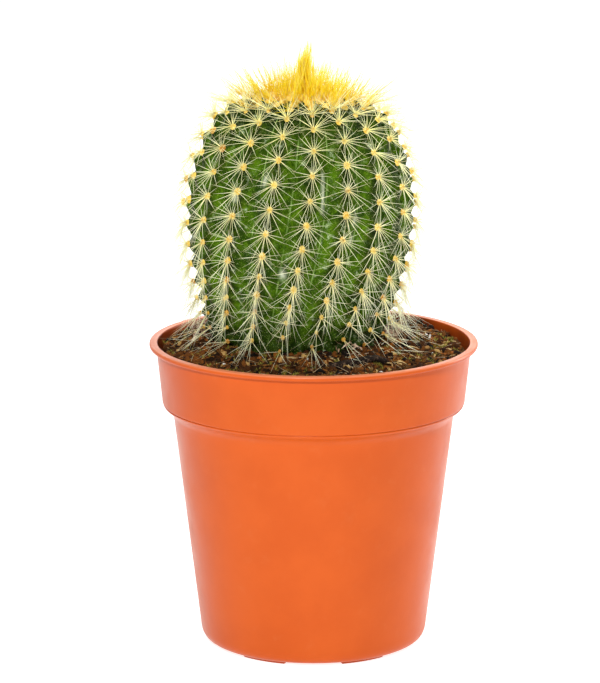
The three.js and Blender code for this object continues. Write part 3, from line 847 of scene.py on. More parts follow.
def pot_feet():
    """The arc-shaped feet: a rounded block section carried round an arc of 29 degrees, its ends
    drawn in to close."""
    steps, corner, rise = 24, 0.25, FOOT_HEIGHT + 0.3
    section = np.array([
        (0.0, rise), (0.0, corner), (corner, 0.0), (FOOT_WIDTH - corner, 0.0), (FOOT_WIDTH, corner),
        (FOOT_WIDTH, rise),
    ])
    turn = np.linspace(-FOOT_HALF_TURN, FOOT_HALF_TURN, steps)
    between_feet = 360 / FEET
    angle = np.radians(turn + between_feet * (np.arange(FEET)[:, None] + 0.5))
    squeeze = np.concatenate([[0.0], np.ones(steps - 2), [0.0]])
    middle = section.mean(axis=0)
    shape = middle + (section - middle) * squeeze[:, None, None]
    points = polar(BASE_RADIUS - 0.5 - shape[..., 0], angle[..., None], shape[..., 1])
    faces = grid_faces(steps, len(section))[:, ::-1]
    return points.reshape(-1, 3), repeat_faces(faces, FEET, steps * len(section))


def pot_marks(points, inside):
    """The marks for the finish: painted shade in the creases at the collar's edge, under the rim's bead
    and at the base, a painted highlight on the rim's top, and painted shade on the inside, fainter towards
    the rim."""
    height = points[:, 2]
    reach = np.hypot(points[:, 0], points[:, 1])
    # Painted shade: dark bands at the collar's edge and under the rim's bead, and at the base and feet.
    crease_shade = bell(height, COLLAR_EDGE, 0.18) + 0.45 * bell(height, POT_HEIGHT - BEAD_HEIGHT - 0.2, 0.2)
    crease_shade = crease_shade + smoothstep(-height, -FOOT_HEIGHT - 0.4, -FOOT_HEIGHT + 0.1)
    # Painted highlight along the rim's top.
    brink = bell(reach, RIM_RADIUS - RIM_OVERHANG, 0.35)
    rim_highlight = smoothstep(height, POT_HEIGHT - 0.7, POT_HEIGHT - 0.1) * (0.5 + 0.5 * brink)
    # The inside carries painted shade, fainter towards the rim.
    return {
        "crease_shade": np.clip(crease_shade, 0, 1) * (1 - inside),
        "rim_highlight": rim_highlight * (1 - inside),
        "inside": inside * (1 - 0.5 * smoothstep(height, POT_HEIGHT - 4, POT_HEIGHT - 0.5)),
    }


def drain_cutter():
    """Seven tubes through the floor, one in the middle and six in a ring, to cut the drain holes."""
    columns = 28
    holes = np.vstack([[(0, 0, 0)], polar(DRAIN_RING, full_turn(6), 0)])
    turn = full_turn(columns)
    ring = DRAIN_RADIUS * np.stack([np.cos(turn), np.sin(turn), 0 * turn], axis=-1)
    ends = np.array([[0, 0, -1.0], [0, 0, 4.0]])
    tubes = holes[:, None, None] + ends[:, None] + ring
    side = grid_faces(2, columns)[:, ::-1]
    low = np.arange(columns)[::-1][None]
    high = np.arange(columns, 2 * columns)[None]
    faces = [repeat_faces(part, len(holes), 2 * columns) for part in (side, low, high)]
    return mesh_object("drain_cutter", tubes.reshape(-1, 3), faces)


def add_pot():
    """The pot: its section turned about Z, joined with its feet, with the drain holes cut out."""
    columns = 256
    outer, inner = pot_section()
    section = np.concatenate([outer, inner])
    wall = polar(section[:, :1], full_turn(columns), section[:, 1:]).reshape(-1, 3)
    feet, feet_faces = pot_feet()
    points = np.concatenate([wall, feet])
    # The inner wall from here on carries painted shade.
    first_shaded = len(outer) + 3
    inside = np.zeros(len(points))
    inside[first_shaded * columns : len(wall)] = 1
    faces = [grid_faces(len(section), columns)[:, ::-1], feet_faces + len(wall)]
    piece = mesh_object("pot_shell", points, faces, pot_marks(points, inside), weld=True)
    cutter = drain_cutter()
    cut = piece.modifiers.new("drain", "BOOLEAN")
    cut.object = cutter
    cut.operation = "DIFFERENCE"
    cut.solver = "EXACT"
    graph = bpy.context.evaluated_depsgraph_get()
    piece.data = bpy.data.meshes.new_from_object(piece.evaluated_get(graph))
    piece.modifiers.clear()
    bpy.data.objects.remove(cutter)
    ride(piece, "pot_plastic", pot_plastic(), "pot")


# Soil


def way_to_wall(toward, wall):
    """How far it is from the plant's axis to a circle round the pot's axis, in each direction: the
    positive root of the quadratic of a ray and a circle."""
    along = toward @ PLANT_PLACE
    return -along + np.sqrt(along**2 - PLANT_PLACE @ PLANT_PLACE + wall**2)


def from_twig(flat):
    """The way from the nearest of 40 places on the twig's line to each place on the soil."""
    places, corners = 40, np.arange(len(TWIG_LINE))
    knots = np.linspace(0, corners[-1], places)
    twig = np.column_stack([np.interp(knots, corners, TWIG_LINE[:, axis]) for axis in (0, 1)])
    away = flat[..., None, :] - twig
    nearest = np.argmin(np.linalg.norm(away, axis=-1), axis=-1)
    return np.take_along_axis(away, nearest[..., None, None], axis=-2)[..., 0, :]


def soil_line(side, tuck):
    """The arc length at which the soil meets each side of the plant, found in four steps by the
    height that is left between the skin, drawn in by the tuck, and the soil."""
    start, sunk = 113.0, 0.6
    arc = np.full(len(side), start)
    for _ in range(4):
        edge = to_pot(skin_points(side, arc, -tuck))
        arc = arc + (edge[:, 2] - soil_height(edge[:, 0], edge[:, 1]) + sunk)
    return arc


def soil_top(edge, rim, rows):
    """The soil's top: a straight blend from the plant's ribbed outline to the wall's circle, lifted
    to the soil's height, with crumbs of noise that leave the twig's place clear, and drawn down at
    the wall."""
    t = np.linspace(0, 1, rows)[:, None, None]
    flat = edge * (1 - t) + rim * t
    t = t[..., 0]
    crumb = 0.95 * np.abs(lattice_noise(flat, 2.6, 11)) + 0.4 * lattice_noise(flat, 1.2, 12)
    clear = smoothstep(np.linalg.norm(from_twig(flat), axis=-1), 1.2, 3.2)
    height = soil_height(flat[..., 0], flat[..., 1]) + crumb * smoothstep(t, 0, 0.03) * clear
    height = height - 0.8 * smoothstep(t, 0.93, 1)
    return np.concatenate([flat, height[..., None]], axis=-1)


def add_soil():
    """The soil block as one closed surface: up the plant's hole from the root's end, out over the
    lumpy top to the pot's wall, down the wall and in along the floor."""
    columns, top_rows, hole_rows, tuck, slack = 456, 110, 7, 0.15, 0.4
    side = np.arange(columns) / columns * RIBS
    wall = SOIL_REACH + 0.3
    line = soil_line(side, tuck)
    hole = []
    for depth in np.linspace(1, 0, hole_rows, endpoint=False):
        arc = line + (OUTLINE_ARC[-1] - line) * depth
        hole.append(to_pot(skin_points(side, arc, 0.25 * depth)))
    hole.insert(0, np.broadcast_to(hole[0].mean(axis=0), hole[0].shape))
    edge = to_pot(skin_points(side, line, -tuck))
    toward = polar(1.0, np.arctan2(edge[:, 0] - PLANT_PLACE[0], -edge[:, 1]), 0)[:, :2]
    rim = PLANT_PLACE + toward * way_to_wall(toward, wall)[:, None]
    corners = [
        (FLOOR_TOP + 4, BODY_FOOT_RADIUS), (BODY_TOP, BODY_TOP_RADIUS),
        (BODY_TOP + 5, COLLAR_RADIUS - 0.4), (POT_HEIGHT, RIM_RADIUS - 2.2),
    ]
    levels = [SOIL_LEVEL - 3, BODY_TOP + 5, BODY_TOP, FLOOR_TOP + 4]
    down = [(np.interp(z, *zip(*corners)) - WALL - slack, z) for z in levels]
    down += [(radius, FLOOR_TOP + slack) for radius in (36.0, 20.0, 0.0)]
    down = [np.column_stack([rim / wall * radius, np.full(columns, z)]) for radius, z in down]
    points = np.concatenate([np.array(hole), soil_top(edge[:, :2], rim, top_rows), np.array(down)])
    faces = grid_faces(len(points), columns)[:, ::-1]
    piece = mesh_object("soil_block", points.reshape(-1, 3), [faces], weld=True)
    ride(piece, "soil", soil_finish(), "soil")


# Loose bits on the soil


def scatter(count, seed, near=0.0):
    """Seeded places on the soil: an angle round the plant, and a share of the way to the wall. Those
    on the twig's line are pushed clear of it."""
    rng = np.random.default_rng(seed)
    toward = polar(1.0, rng.uniform(0, 2 * np.pi, count), 0)[:, :2]
    inner, clear_of_twig = 30.5, 2.3
    share = near + (1 - near) * rng.uniform(0, 1, count) ** 0.8
    reach = inner + (way_to_wall(toward, SOIL_REACH - 0.6) - inner) * share
    flat = PLANT_PLACE + toward * reach[:, None]
    away = from_twig(flat)
    flat = flat + unit(away) * np.maximum(clear_of_twig - np.linalg.norm(away, axis=1), 0)[:, None]
    return np.column_stack([flat, soil_height(flat[:, 0], flat[:, 1])]), rng


def add_bits(name, shapes, shade, finish, smooth=True):
    """A piece of loose bits, from their points and faces, with one shade for each bit."""
    points, faces = shapes[:2]
    values = {"shade": np.repeat(shade, len(points) // len(shade))}
    ride(mesh_object(name, points, faces, values, smooth=smooth), "soil", finish)


def add_crumbs():
    """Peat crumbs: small rough lumps half sunk in the surface, most of them fine."""
    count = 6500
    centres, rng = scatter(count, 21)
    size = 0.28 + 1.45 * rng.uniform(0, 1, count) ** 3.4
    sizes = size[:, None] * rng.uniform(0.35, 1.3, (count, 3))
    centres[:, 2] += size * 0.3 + 0.25
    shapes = lump_shapes(centres, sizes, rng.uniform(0, 2 * np.pi, (count, 2)), 22)
    zone = 0.5 + 0.5 * lattice_noise(centres[:, :2], 3.5, 23)
    shade = np.clip(rng.uniform(0, 1, count) ** 1.8 * (0.15 + 1.3 * zone), 0, 1)
    finish = scrap_finish("peat_crumbs", PEAT_BLACK, (0.3, 0.095, 0.014), 0.9, (0.5, 0.3, 0.1))
    add_bits("soil_crumbs", shapes, shade, finish, smooth=False)


def add_perlite():
    """White perlite grains, scattered and few."""
    count = 22
    centres, rng = scatter(count, 31)
    size = rng.uniform(0.35, 0.8, count)
    centres[:, 2] += size * 0.5 + 0.4
    sizes = size[:, None] * rng.uniform(0.8, 1.2, (count, 3))
    shapes = lump_shapes(centres, sizes, rng.uniform(0, 6.28, (count, 2)), 32)
    finish = scrap_finish("perlite", (0.5, 0.48, 0.42), (0.85, 0.84, 0.8), 0.8)
    add_bits("perlite", shapes, rng.uniform(0, 1, count), finish)


def add_chips():
    """Bark chips: flat lumps, lying nearly level, in rust brown and tan."""
    count = 620
    centres, rng = scatter(count, 71)
    size = rng.uniform(0.6, 1.7, count)
    sizes = size[:, None] * np.array([1.2, 0.5, 0.25]) * rng.uniform(0.6, 1.4, (count, 3))
    centres[:, 2] += 0.3 * size + 0.3
    turns = np.column_stack([rng.uniform(0, 6.28, count), rng.normal(0, 0.5, count)])
    shapes = lump_shapes(centres, sizes, turns, 72)
    rust, tan = (0.46, 0.14, 0.02), (0.6, 0.4, 0.14)
    finish = scrap_finish("bark_chips", (0.012, 0.005, 0.003), rust, 0.8, tan)
    add_bits("bark_chips", shapes, rng.uniform(0, 1, count), finish, smooth=False)


def lying_strands(count, seed, length, thickness, rise):
    """Strands that lie on the soil: a random heading, a sideways bend and a low hump. Their ends
    stay inside the pot's wall and rise over the soil by chance."""
    middle, rng = scatter(count, seed)
    heading = rng.uniform(0, 2 * np.pi, count)
    half = 0.5 * rng.uniform(*length, count)
    reach = np.column_stack([np.cos(heading), np.sin(heading), np.zeros(count)]) * half[:, None]
    ends = []
    for sign in (-1, 1):
        end = middle + sign * reach
        out = np.hypot(end[:, 0], end[:, 1])
        end[:, :2] *= np.minimum(1, (SOIL_REACH - 0.8) / out)[:, None]
        end[:, 2] = soil_height(end[:, 0], end[:, 1]) + rng.uniform(*rise, count)
        ends.append(end)
    sag = rng.normal(0, 0.16, (count, 3)) * half[:, None]
    sag[:, 2] = np.abs(sag[:, 2]) * 0.5
    return needle_shapes(*ends, sag, rng.uniform(*thickness, count)), rng


def add_fibres():
    """Peat and coir fibres in tan, orange and brown, darker in some places than in others."""
    count = 2200
    shapes, rng = lying_strands(count, 41, (1.2, 5), (0.25, 0.7), (0.4, 1.5))
    first = shapes[0].reshape(count, -1, 3)[:, 0, :2]
    shade = rng.uniform(0, 1, count) * np.clip(0.75 + 0.75 * lattice_noise(first, 6, 43), 0, 1)
    orange, tan = (0.6, 0.24, 0.045), (0.9, 0.66, 0.3)
    finish = scrap_finish("peat_fibres", (0.01, 0.004, 0.002), orange, 0.8, tan, 0.78)
    add_bits("soil_fibres", shapes, shade, finish)


def add_fallen_needles():
    """Dry pale needles that lie on the soil."""
    count = 110
    shapes, rng = lying_strands(count, 51, (4, 10), (0.18, 0.3), (0.7, 1.8))
    finish = scrap_finish("dry_needles", (0.4, 0.27, 0.14), (0.72, 0.6, 0.4), 0.6)
    add_bits("fallen_needles", shapes, rng.uniform(0, 1, count), finish)


def add_moss():
    """Tufts of olive moss: short blades that splay from a middle."""
    tufts, blades = 210, 34
    centres, rng = scatter(tufts, 61, 0.1)
    turn = rng.uniform(0, 2 * np.pi, (tufts, blades))
    lift = rng.uniform(0.35, 1.4, (tufts, blades))
    aim = np.stack([np.cos(turn) * np.cos(lift), np.sin(turn) * np.cos(lift), np.sin(lift)], axis=-1)
    roots = centres[:, None] + aim * rng.uniform(0, 0.9, (tufts, blades, 1))
    tips = roots + aim * rng.uniform(0.6, 1.9, (tufts, blades, 1))
    roots, tips = roots.reshape(-1, 3), tips.reshape(-1, 3)
    shapes = needle_shapes(roots, tips, 0 * roots, 0.42, segments=2)
    finish = scrap_finish("moss", (0.03, 0.032, 0.004), (0.42, 0.36, 0.06), 0.85)
    add_bits("moss", shapes, rng.uniform(0, 1, len(roots)), finish)


def add_husks():
    """Papery husks, pinkish white, in clumps where the plant meets the soil."""
    rng = np.random.default_rng(75)
    clumps = np.radians([-104, -96, -88, -80, 78, 84, 92, 100, 150, -150, 35])
    husks, over_soil = 34, 0.3
    angle = np.repeat(clumps, husks) + rng.normal(0, 0.07, len(clumps) * husks)
    count = len(angle)
    root = polar(33.5 + rng.uniform(-0.5, 4.5, count), angle, 0) + [*PLANT_PLACE, 0]
    root[:, 2] = soil_height(root[:, 0], root[:, 1]) + over_soil + rng.uniform(0, 1, count) ** 1.5 * 5
    aim = rng.normal(0, 1, root.shape) * [1, 1, 0.55]
    tip = root + unit(aim) * rng.uniform(1.2, 4.2, (count, 1))
    tip[:, 2] = np.maximum(tip[:, 2], soil_height(tip[:, 0], tip[:, 1]) + over_soil)
    sag = rng.normal(0, 0.3, root.shape)
    shapes = needle_shapes(root, tip, sag, rng.uniform(0.6, 1.5, count), sides=6, flat=0.1)
    finish = scrap_finish("papery_husks", (0.42, 0.25, 0.15), (0.85, 0.66, 0.5), 0.7)
    add_bits("papery_husks", shapes, rng.uniform(0, 1, count), finish)


def add_twig():
    """The crooked scrap: a round section, roughened by noise, carried along its line and narrowed at
    both ends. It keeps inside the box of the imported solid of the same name."""
    rings, sides, half_width, half_height = 60, 16, 1.7, 1.4
    line = TWIG_LINE.copy()
    line[:, 2] += soil_height(line[:, 0], line[:, 1])
    t = np.linspace(0, 1, rings)
    weight = bell(t[:, None], np.linspace(0, 1, len(line)), 0.13)
    middle = (weight / weight.sum(axis=1, keepdims=True)) @ line
    along = unit(np.gradient(middle, axis=0))
    across = unit(np.cross(along, [0, 0, 1.0]))
    up = np.cross(across, along)
    taper = (0.65 + 0.35 * np.sin(np.pi * t)) * np.minimum(1, 12 * np.minimum(t, 1 - t))
    turn = full_turn(sides)
    place = np.stack(np.broadcast_arrays(t[:, None] * 20, 1.6 * np.cos(turn), 1.6 * np.sin(turn)), -1)
    rough = 1 + 0.28 * lattice_noise(place, 1, 4) + 0.16 * lattice_noise(place, 0.45, 5)
    wide = half_width * taper[:, None] * rough * np.cos(turn)
    thick = half_height * taper[:, None] * rough * np.sin(turn)
    points = middle[:, None] + across[:, None] * wide[..., None] + up[:, None] * thick[..., None]
    points = np.clip(points, *(np.array(corner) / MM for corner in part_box("twig")))
    piece = mesh_object("twig_bark", points.reshape(-1, 3), [grid_faces(rings, sides)], weld=True)
    ride(piece, "twig", twig_bark(), "twig")


# Plant


def skin_marks(side, arc):
    """The marks for the skin's finish: the valleys between the ribs; the long scar with the pale
    smudges, which are painted highlights; lines that rise from valley to crest; and painted shade under
    each areole, where its needles shade the skin, in the soil and near the crown."""
    rib = np.round(side)
    around = (side + RIBS / 2) % RIBS - RIBS / 2
    height = outline_at(arc)[1]
    scar_and_highlight = bell(around, SCAR_RIB + (SCAR_HEIGHT - height) * SCAR_SLANT, 0.04)
    scar_and_highlight = scar_and_highlight * smoothstep(height, 53, 58) * (1 - smoothstep(height, 67, 71))
    # The pale smudges are painted highlights.
    for place, level in HIGHLIGHT_SPOTS:
        scar_and_highlight = scar_and_highlight + bell(around, place, 0.09) * bell(height, level, 1.7)
    # Painted shade under each areole, where its needles shade the skin, and near the soil and the crown.
    row = row_at(rib, arc) - 0.2
    under = bell(side, rib, 0.15) * (0.4 + 0.6 * bell(row, np.round(row), 0.26))
    under = np.maximum(under, 0.85 * smoothstep(arc, 99, 117))
    under = np.maximum(under, 0.9 * (1 - smoothstep(arc, 24, 46)))
    return {
        "valley": 1 - np.abs(np.cos(np.pi * side)), "scar_and_highlight": np.clip(scar_and_highlight, 0, 1),
        "chevron": arc - 12 * np.abs(around - np.round(around)), "under": under,
    }


def add_skin():
    """The ribbed skin on a grid, from the apex to the root, with fine wrinkles of noise."""
    columns, rows = RIBS * RIB_COLUMNS, 300
    side, arc = np.meshgrid(
        np.arange(columns) / RIB_COLUMNS, np.linspace(0, 1, rows) ** 0.94 * OUTLINE_ARC[-1],
    )
    points = skin_points(side, arc)
    out = unit(points - points.mean(axis=1, keepdims=True) + 1e-6)
    points = points + out * (0.12 * lattice_noise(points, 2.6, 71))[..., None]
    points[[0, -1]] = points[[0, -1]].mean(axis=1, keepdims=True)
    piece = mesh_object(
        "cactus_skin", to_pot(points).reshape(-1, 3), [grid_faces(rows, columns)],
        skin_marks(side, arc), weld=True,
    )
    ride(piece, "cactus_skin", cactus_skin(), "cactus_body")


def add_felt():
    """Areole felt: a low oval dome on each areole with short wool hairs standing out of it. Round
    the apex the domes are wide enough to meet as a woolly cushion."""
    rib, arc = areoles(2.5, 121)
    rng = np.random.default_rng(81)
    count, rings, corners, hairs = len(rib), 5, 12, 30
    crest = crest_frame(rib, arc)
    centre = skin_points(rib, arc)
    grown = 0.6 + 0.4 * smoothstep(arc, 16, 42) + 1.0 * (1 - smoothstep(arc, 14, 26))
    old = smoothstep(arc, 85, 118)
    size = grown * (1 - 0.4 * old) * rng.uniform(0.8, 1.15, count)
    lift = np.linspace(0, np.pi / 2, rings)[None, :, None]
    turn = full_turn(corners)
    rise = np.sin(lift) + 0 * turn
    dome = along_crest(
        crest, 1.05 * np.cos(lift) * np.cos(turn), 1.3 * np.cos(lift) * np.sin(turn), 1.2 * rise - 0.25,
    )
    points = centre[:, None, None] + dome * size[:, None, None, None]
    points = points + 0.16 * rng.uniform(-1, 1, points.shape) * (rise > 0.2)[..., None]
    shade = np.clip(rng.normal(0.35, 0.24, count) + 0.45 * old, 0, 1)
    away = rng.normal(0, 0.9, (count, hairs, 2))
    aim = unit(along_crest(crest, away[..., 0], away[..., 1], 1.0))
    root = centre[:, None] + (aim * size[:, None, None]) * 0.75
    tip = root + aim * (size[:, None, None] * rng.uniform(0.3, 0.95, (count, hairs, 1)))
    sag = rng.normal(0, 0.12, (count * hairs, 3))
    wool, wool_faces, _ = needle_shapes(root.reshape(-1, 3), tip.reshape(-1, 3), sag, 0.16, segments=2)
    dome_points = rings * corners
    faces = [repeat_faces(grid_faces(rings, corners)[:, ::-1], count, dome_points)]
    faces += [part + count * dome_points for part in wool_faces]
    all_points = to_pot(np.concatenate([points.reshape(-1, 3), wool]))
    all_shade = [np.repeat(shade, dome_points), np.repeat(shade * 0.7, len(wool) // count)]
    piece = mesh_object("areole_felt", all_points, faces, {"shade": np.concatenate(all_shade)})
    ride(piece, "cactus_skin", felt_finish())


def add_spines(name, root, tip, bow, thick, marks, slot, finish, *nodes):
    """A piece of needles, each with marks of its own and the share along its length."""
    points, faces, along = needle_shapes(root, tip, bow, thick)
    values = {key: np.repeat(value, len(points) // len(tip)) for key, value in marks.items()}
    ride(mesh_object(name, points, faces, {"along": along, **values}), slot, finish, *nodes)


def rest_on_soil(root, tip, rng):
    """Turns the needles that would end in the soil, in three steps, so that they come to rest over
    it at a height of their own, swept outwards. Also gives that height and each needle's length."""
    spare = rng.uniform(0, 1, len(tip)) ** 2
    reach = np.linalg.norm(tip - root, axis=1)
    for _ in range(3):
        ground = soil_height(tip[:, 0], tip[:, 1]) + 0.4 + 2.2 * spare
        outwards = unit(root[:, :2] - PLANT_PLACE) * reach[:, None]
        away = unit(tip[:, :2] - root[:, :2] + 0.6 * outwards)
        drop = np.minimum(np.abs(root[:, 2] - ground), reach)
        wide = np.sqrt(np.maximum(reach**2 - drop**2, 0))
        resting = np.column_stack([root[:, :2] + away * wide[:, None], ground])
        tip = np.where((ground > tip[:, 2])[:, None], resting, tip)
    return tip, ground, reach


def star_shape(arc, radials, middles, rng):
    """The turn round the areole, the lift over the skin and the length of each needle in the stars.
    Radial needles stand at nearly even turns, drawn downwards on older areoles, and lie low. Middle
    ones stand out. The lower needles of a star are the longest, and those near the soil longer
    still and lifted, to come to rest on it."""
    count = len(arc)
    usual_length = 9.6
    shoulder = (1 - smoothstep(arc, *CROWN_ENDS))[:, None]
    low = smoothstep(arc, *SOIL_NEARS)[:, None]
    turn = (np.arange(radials) + rng.uniform(-0.33, 0.33, (count, radials))) / radials * 2 * np.pi
    turn = np.concatenate([turn, rng.uniform(0, 2 * np.pi, (count, middles))], axis=1)
    turn = turn - (0.12 + 0.68 * smoothstep(arc, 50, 100)[:, None]) * np.cos(turn)
    lift = np.radians(rng.uniform(4, 27, (count, radials)) + 20 * shoulder)
    lift = np.concatenate([lift, np.radians(rng.uniform(24, 74, (count, middles)))], axis=1)
    uneven = 0.34 + 0.1 * smoothstep(arc, 50, 90)[:, None]
    length = usual_length * (1 - uneven * np.sin(turn)) * rng.uniform(0.78, 1.14, turn.shape)
    length = length * (1 + 0.16 * shoulder)
    length[:, radials:] *= 0.98 + 0.3 * shoulder
    lift = lift + np.radians(12) * np.sin(turn) ** 4 * (1 - shoulder)
    downward = smoothstep(-np.sin(turn), 0.1, 0.6)
    length = length * (1 + 0.34 * low * downward)
    return turn, lift + np.radians(20) * low * downward, length


def needles_to_keep(root, tip, ground, reach, arc, rng):
    """Which needles stay: two thirds fewer near the soil, a quarter of those lying flat on it, and
    hardly any whose tips are near the twig."""
    total = len(tip)
    kept = rng.uniform(0, 1, total) > 0.66 * smoothstep(arc, 94, 112)
    lying = (tip[:, 2] < ground + 0.3) & (np.abs(root[:, 2] - tip[:, 2]) < 0.42 * reach)
    kept &= ~lying | (rng.uniform(0, 1, total) < 0.25)
    near_twig = (np.linalg.norm(from_twig(tip[:, :2]), axis=1) < 8) & (tip[:, 2] < POT_HEIGHT + 5)
    return kept & (~near_twig | (rng.uniform(0, 1, total) < 0.06))


def add_needles():
    """The stars of pale, slightly bowed needles on the areoles, golden where they are young, near
    the crown. One needle in seven is dark: partly old needles and partly painted shade that stands in for
    the needles' shadows on the skin."""
    rib, arc = areoles(23, 121)
    rng = np.random.default_rng(91)
    radials, middles, thickness, over_skin = 18, 5, 0.25, 0.45
    crest = crest_frame(rib, arc)
    out = crest[0][:, None]
    centre = skin_points(rib, arc)[:, None] + out * over_skin
    turn, lift, length = star_shape(arc, radials, middles, rng)
    aim = along_crest(crest, np.cos(turn) * np.cos(lift), np.sin(turn) * np.cos(lift), np.sin(lift))
    root = centre + aim * 0.2
    tip = root + aim * length[..., None]
    bow = out * (0.05 * length * rng.uniform(-0.2, 1.0, turn.shape))[..., None]
    bow = turn_to_pot(bow + rng.normal(0, 0.16, aim.shape)).reshape(-1, 3)
    root, tip = to_pot(root).reshape(-1, 3), to_pot(tip).reshape(-1, 3)
    tip, ground, reach = rest_on_soil(root, tip, rng)
    widest = np.where(tip[:, 2] < POT_HEIGHT + 1, SOIL_REACH - 0.5, RIM_RADIUS - 1)
    tip[:, :2] *= np.minimum(1, widest / np.hypot(tip[:, 0], tip[:, 1]))[:, None]
    total, arc = len(tip), np.repeat(arc, radials + middles)
    thick = thickness * rng.uniform(0.65, 1.15, total)
    kept = needles_to_keep(root, tip, ground, reach, arc, rng)
    young = 0.75 * (1 - smoothstep(arc, 24, 56)) + 0.25 * (1 - smoothstep(arc, 60, 100))
    gold = young * rng.uniform(0.4, 1, total)
    shade = np.clip(rng.normal(0.0, 0.14, total) + 0.1 * smoothstep(arc, *SOIL_NEARS), 0, 1)
    # Dark needles: partly old ones, partly painted shade in place of the needles' shadows on the skin.
    old = rng.uniform(0, 1, total) < 0.14
    shade = np.where(old, rng.uniform(0.6, 1, total), shade)
    root, tip, bow, thick, gold, shade = (v[kept] for v in (root, tip, bow, thick, gold, shade))
    finish = needle_finish("needles", [
        (0.0, (0.94, 0.7, 0.18)), (0.12, (0.94, 0.9, 0.46)), (0.6, (0.94, 0.97, 0.68)),
        (1.0, (0.74, 0.56, 0.25)),
    ], (0.2, 0.12, 0.04), 0.22, 0.25, "gold", (0.92, 0.86, 0.25))
    marks = {"shade": shade, "gold": gold}
    add_spines("needle_stars", root, tip, bow, thick, marks, "cactus_skin", finish)


def crown_rows(rng):
    """Roots and tips of the needles from the close rows of young areoles: upright in the middle and
    splayed outwards, in loose bunches, with more of them cut short towards the outside."""
    last_arc, each = 24.5, 15
    rib, arc = areoles(2.2, last_arc)
    outward = polar(1.0, rib_angle(rib, outline_at(arc)[1]), 0)
    share = (arc / last_arc)[:, None]
    tilt = np.radians(2 + 20 * share + 38 * share**2.5)
    field = outward * np.sin(tilt) + np.array([0, 0, 1.0]) * np.cos(tilt)
    root = skin_points(rib, arc)[:, None] + rng.normal(0, 0.5, (len(rib), each, 3)) * [1, 1, 0.2]
    loose = (0.1 + 0.28 * share)[..., None]
    bunch = rng.normal(0, 0.8, (len(rib), 1, 3)) * loose
    aim = unit(field[:, None] + bunch + rng.normal(0, 0.6, root.shape) * loose)
    length = 4.4 + 11.6 * rng.uniform(0, 1, (len(rib), each)) ** 1.7
    length = length * (rng.uniform(0.6, 0.95, (len(rib), 1)) + 0.35 * share)
    length = length * (rng.uniform(0, 1, length.shape) > 0.5 * share**2)
    tip = root + aim * np.maximum(length, 1.5)[..., None]
    return root.reshape(-1, 3), tip.reshape(-1, 3)


def crown_peak(rng):
    """Roots and tips of the long needles over the apex, which draw together into narrow spikes."""
    spikes, hairs = 14, 13
    count = spikes * hairs
    spike_top = PLANT_TOP + PEAK_HEIGHT - 8 * rng.uniform(0, 1, spikes) ** 1.3
    spike = np.column_stack([rng.uniform(-2.7, 2.7, (spikes, 2)), spike_top])
    share = rng.uniform(0, 1, (count, 1)) ** 0.35
    root = np.column_stack([rng.normal(0, 1.7, (count, 2)), np.full(count, PLANT_TOP)])
    tip = root + (np.repeat(spike, hairs, axis=0) - root) * (0.45 + 0.55 * share)
    tip[:, :2] += rng.normal(0, 0.5, (count, 2))
    return root, tip


def crown_straws(rng):
    """Roots and tips of long single straws that lean out the more, the further they stand from the
    apex, and that distance."""
    count, widest = 170, 24
    turn = rng.uniform(0, 2 * np.pi, count)
    away = rng.uniform(3, widest, count)
    spread = np.column_stack([np.cos(turn), np.sin(turn)])
    root = np.column_stack([spread * away[:, None], PLANT_TOP - 0.04 * away**1.4])
    reach = rng.uniform(11, 25, count) * (0.55 + 0.45 * away / widest)
    slant = np.radians(rng.uniform(-8, 24, count) + 2.1 * away)
    tip = root + np.column_stack([spread * (reach * np.sin(slant))[:, None], reach * np.cos(slant)])
    return root, tip, away


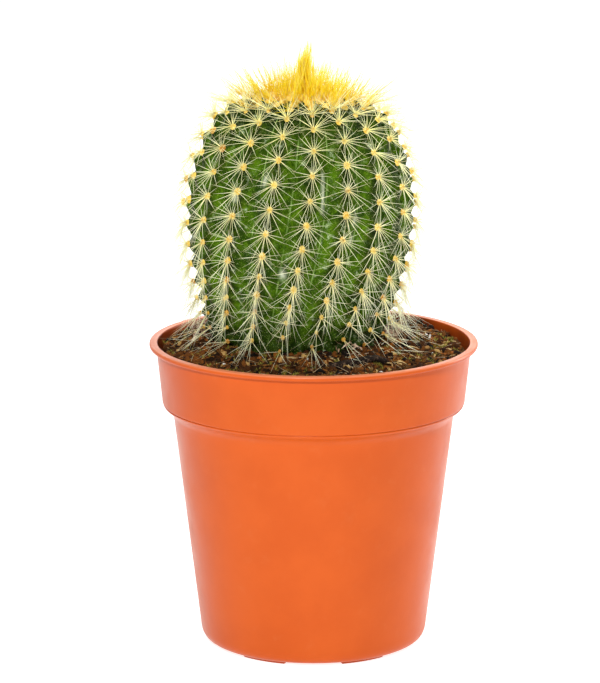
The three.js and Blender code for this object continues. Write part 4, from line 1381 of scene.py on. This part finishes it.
def add_crown():
    """The crown: golden needles of the young areoles, a narrow peak of longer and thicker ones over
    the apex, and long straws, which are thicker and drier towards the outside."""
    rng = np.random.default_rng(101)
    rows, peak, straws = crown_rows(rng), crown_peak(rng), crown_straws(rng)
    root, tip = (np.concatenate([rows[i], peak[i], straws[i]]) for i in (0, 1))
    away = straws[2]
    sag = rng.normal(0, 0.035, tip.shape) * np.linalg.norm(tip - root, axis=1, keepdims=True)
    root, tip = to_pot(root), to_pot(tip)
    tip[:, 2] = np.minimum(tip[:, 2], cad_box[1][2] / MM - 0.2)
    total, others = len(tip), len(tip) - len(away)
    thick = 0.3 * rng.uniform(0.6, 1.15, total)
    thick[len(rows[0]) : others] *= 1.8
    thick[others:] *= 0.85 + 0.45 * smoothstep(away, 8, 18)
    shade = np.clip(rng.normal(0.12, 0.36, total), 0, 1)
    dry = np.concatenate([np.zeros(others), smoothstep(away, 12, 22)]) * rng.uniform(0.3, 1, total)
    finish = needle_finish("crown_needles", [
        (0.0, (0.95, 0.64, 0.06)), (0.2, (0.96, 0.56, 0.003)), (0.6, (0.97, 0.74, 0.006)),
        (1.0, (0.97, 0.86, 0.05)),
    ], (0.6, 0.21, 0.001), 0.07, 0.4, "dry", (0.46, 0.33, 0.08))
    marks = {"shade": shade, "dry": dry}
    sag = turn_to_pot(sag)
    add_spines("crown_needles", root, tip, sag, thick, marks, "crown_needles", finish, "crown_tuft")


# Stage

# Each light's name, place, width and height, and power
LIGHTS = (
    ("front", (-220, -1350, 860), (110, 110), 20),
    ("right", (800, 480, 320), (260, 800), 8),
    ("above", (0, 250, 1300), (900, 900), 13),
    ("behind", (0, 1500, 560), (1500, 460), 5),
)
LIT_PLACE = Vector((0, 0, 120))


def add_floor():
    """A wide pale floor, nearly white by a glow of its own."""
    half = 4000.0
    points = np.array([(-half, -half, 0), (half, -half, 0), (half, half, 0), (-half, half, 0)])
    floor = mesh_object("floor", points, [np.array([[0, 1, 2, 3]])])
    floor.data.materials.append(dress(
        new_material("floor")[0], (0.5, 0.5, 0.5), 0.9, Specular_IOR_Level=0.1,
        Emission_Color=(1, 1, 1), Emission_Strength=0.86,
    ))


def add_lights():
    """Soft rectangular lights: one in front from the upper left, a strip at the right, a wide one
    above, and one behind, over the horizon, for the rim's sheen and the glow of the needles."""
    world = bpy.data.worlds.new("studio")
    world.use_nodes = True
    background = world.node_tree.nodes["Background"]
    background.inputs["Color"].default_value = (1, 1, 1, 1)
    background.inputs["Strength"].default_value = 0.2
    bpy.context.scene.world = world
    for name, place, size, power in LIGHTS:
        lamp = bpy.data.lights.new(name, "AREA")
        lamp.shape = "RECTANGLE"
        lamp.size, lamp.size_y = size[0] * MM, size[1] * MM
        lamp.energy = power
        light = bpy.data.objects.new(name, lamp)
        aim = (LIT_PLACE - Vector(place)).to_track_quat("-Z", "Y").to_matrix().to_4x4()
        light.matrix_world = Matrix.Translation(Vector(place) * MM) @ aim
        bpy.context.scene.collection.objects.link(light)


bpy.context.scene.view_settings.view_transform = "Standard"
add_floor()
add_lights()
add_pot()
add_soil()
add_crumbs()
add_fibres()
add_fallen_needles()
add_moss()
add_perlite()
add_chips()
add_husks()
add_twig()
add_skin()
add_felt()
add_needles()
add_crown()
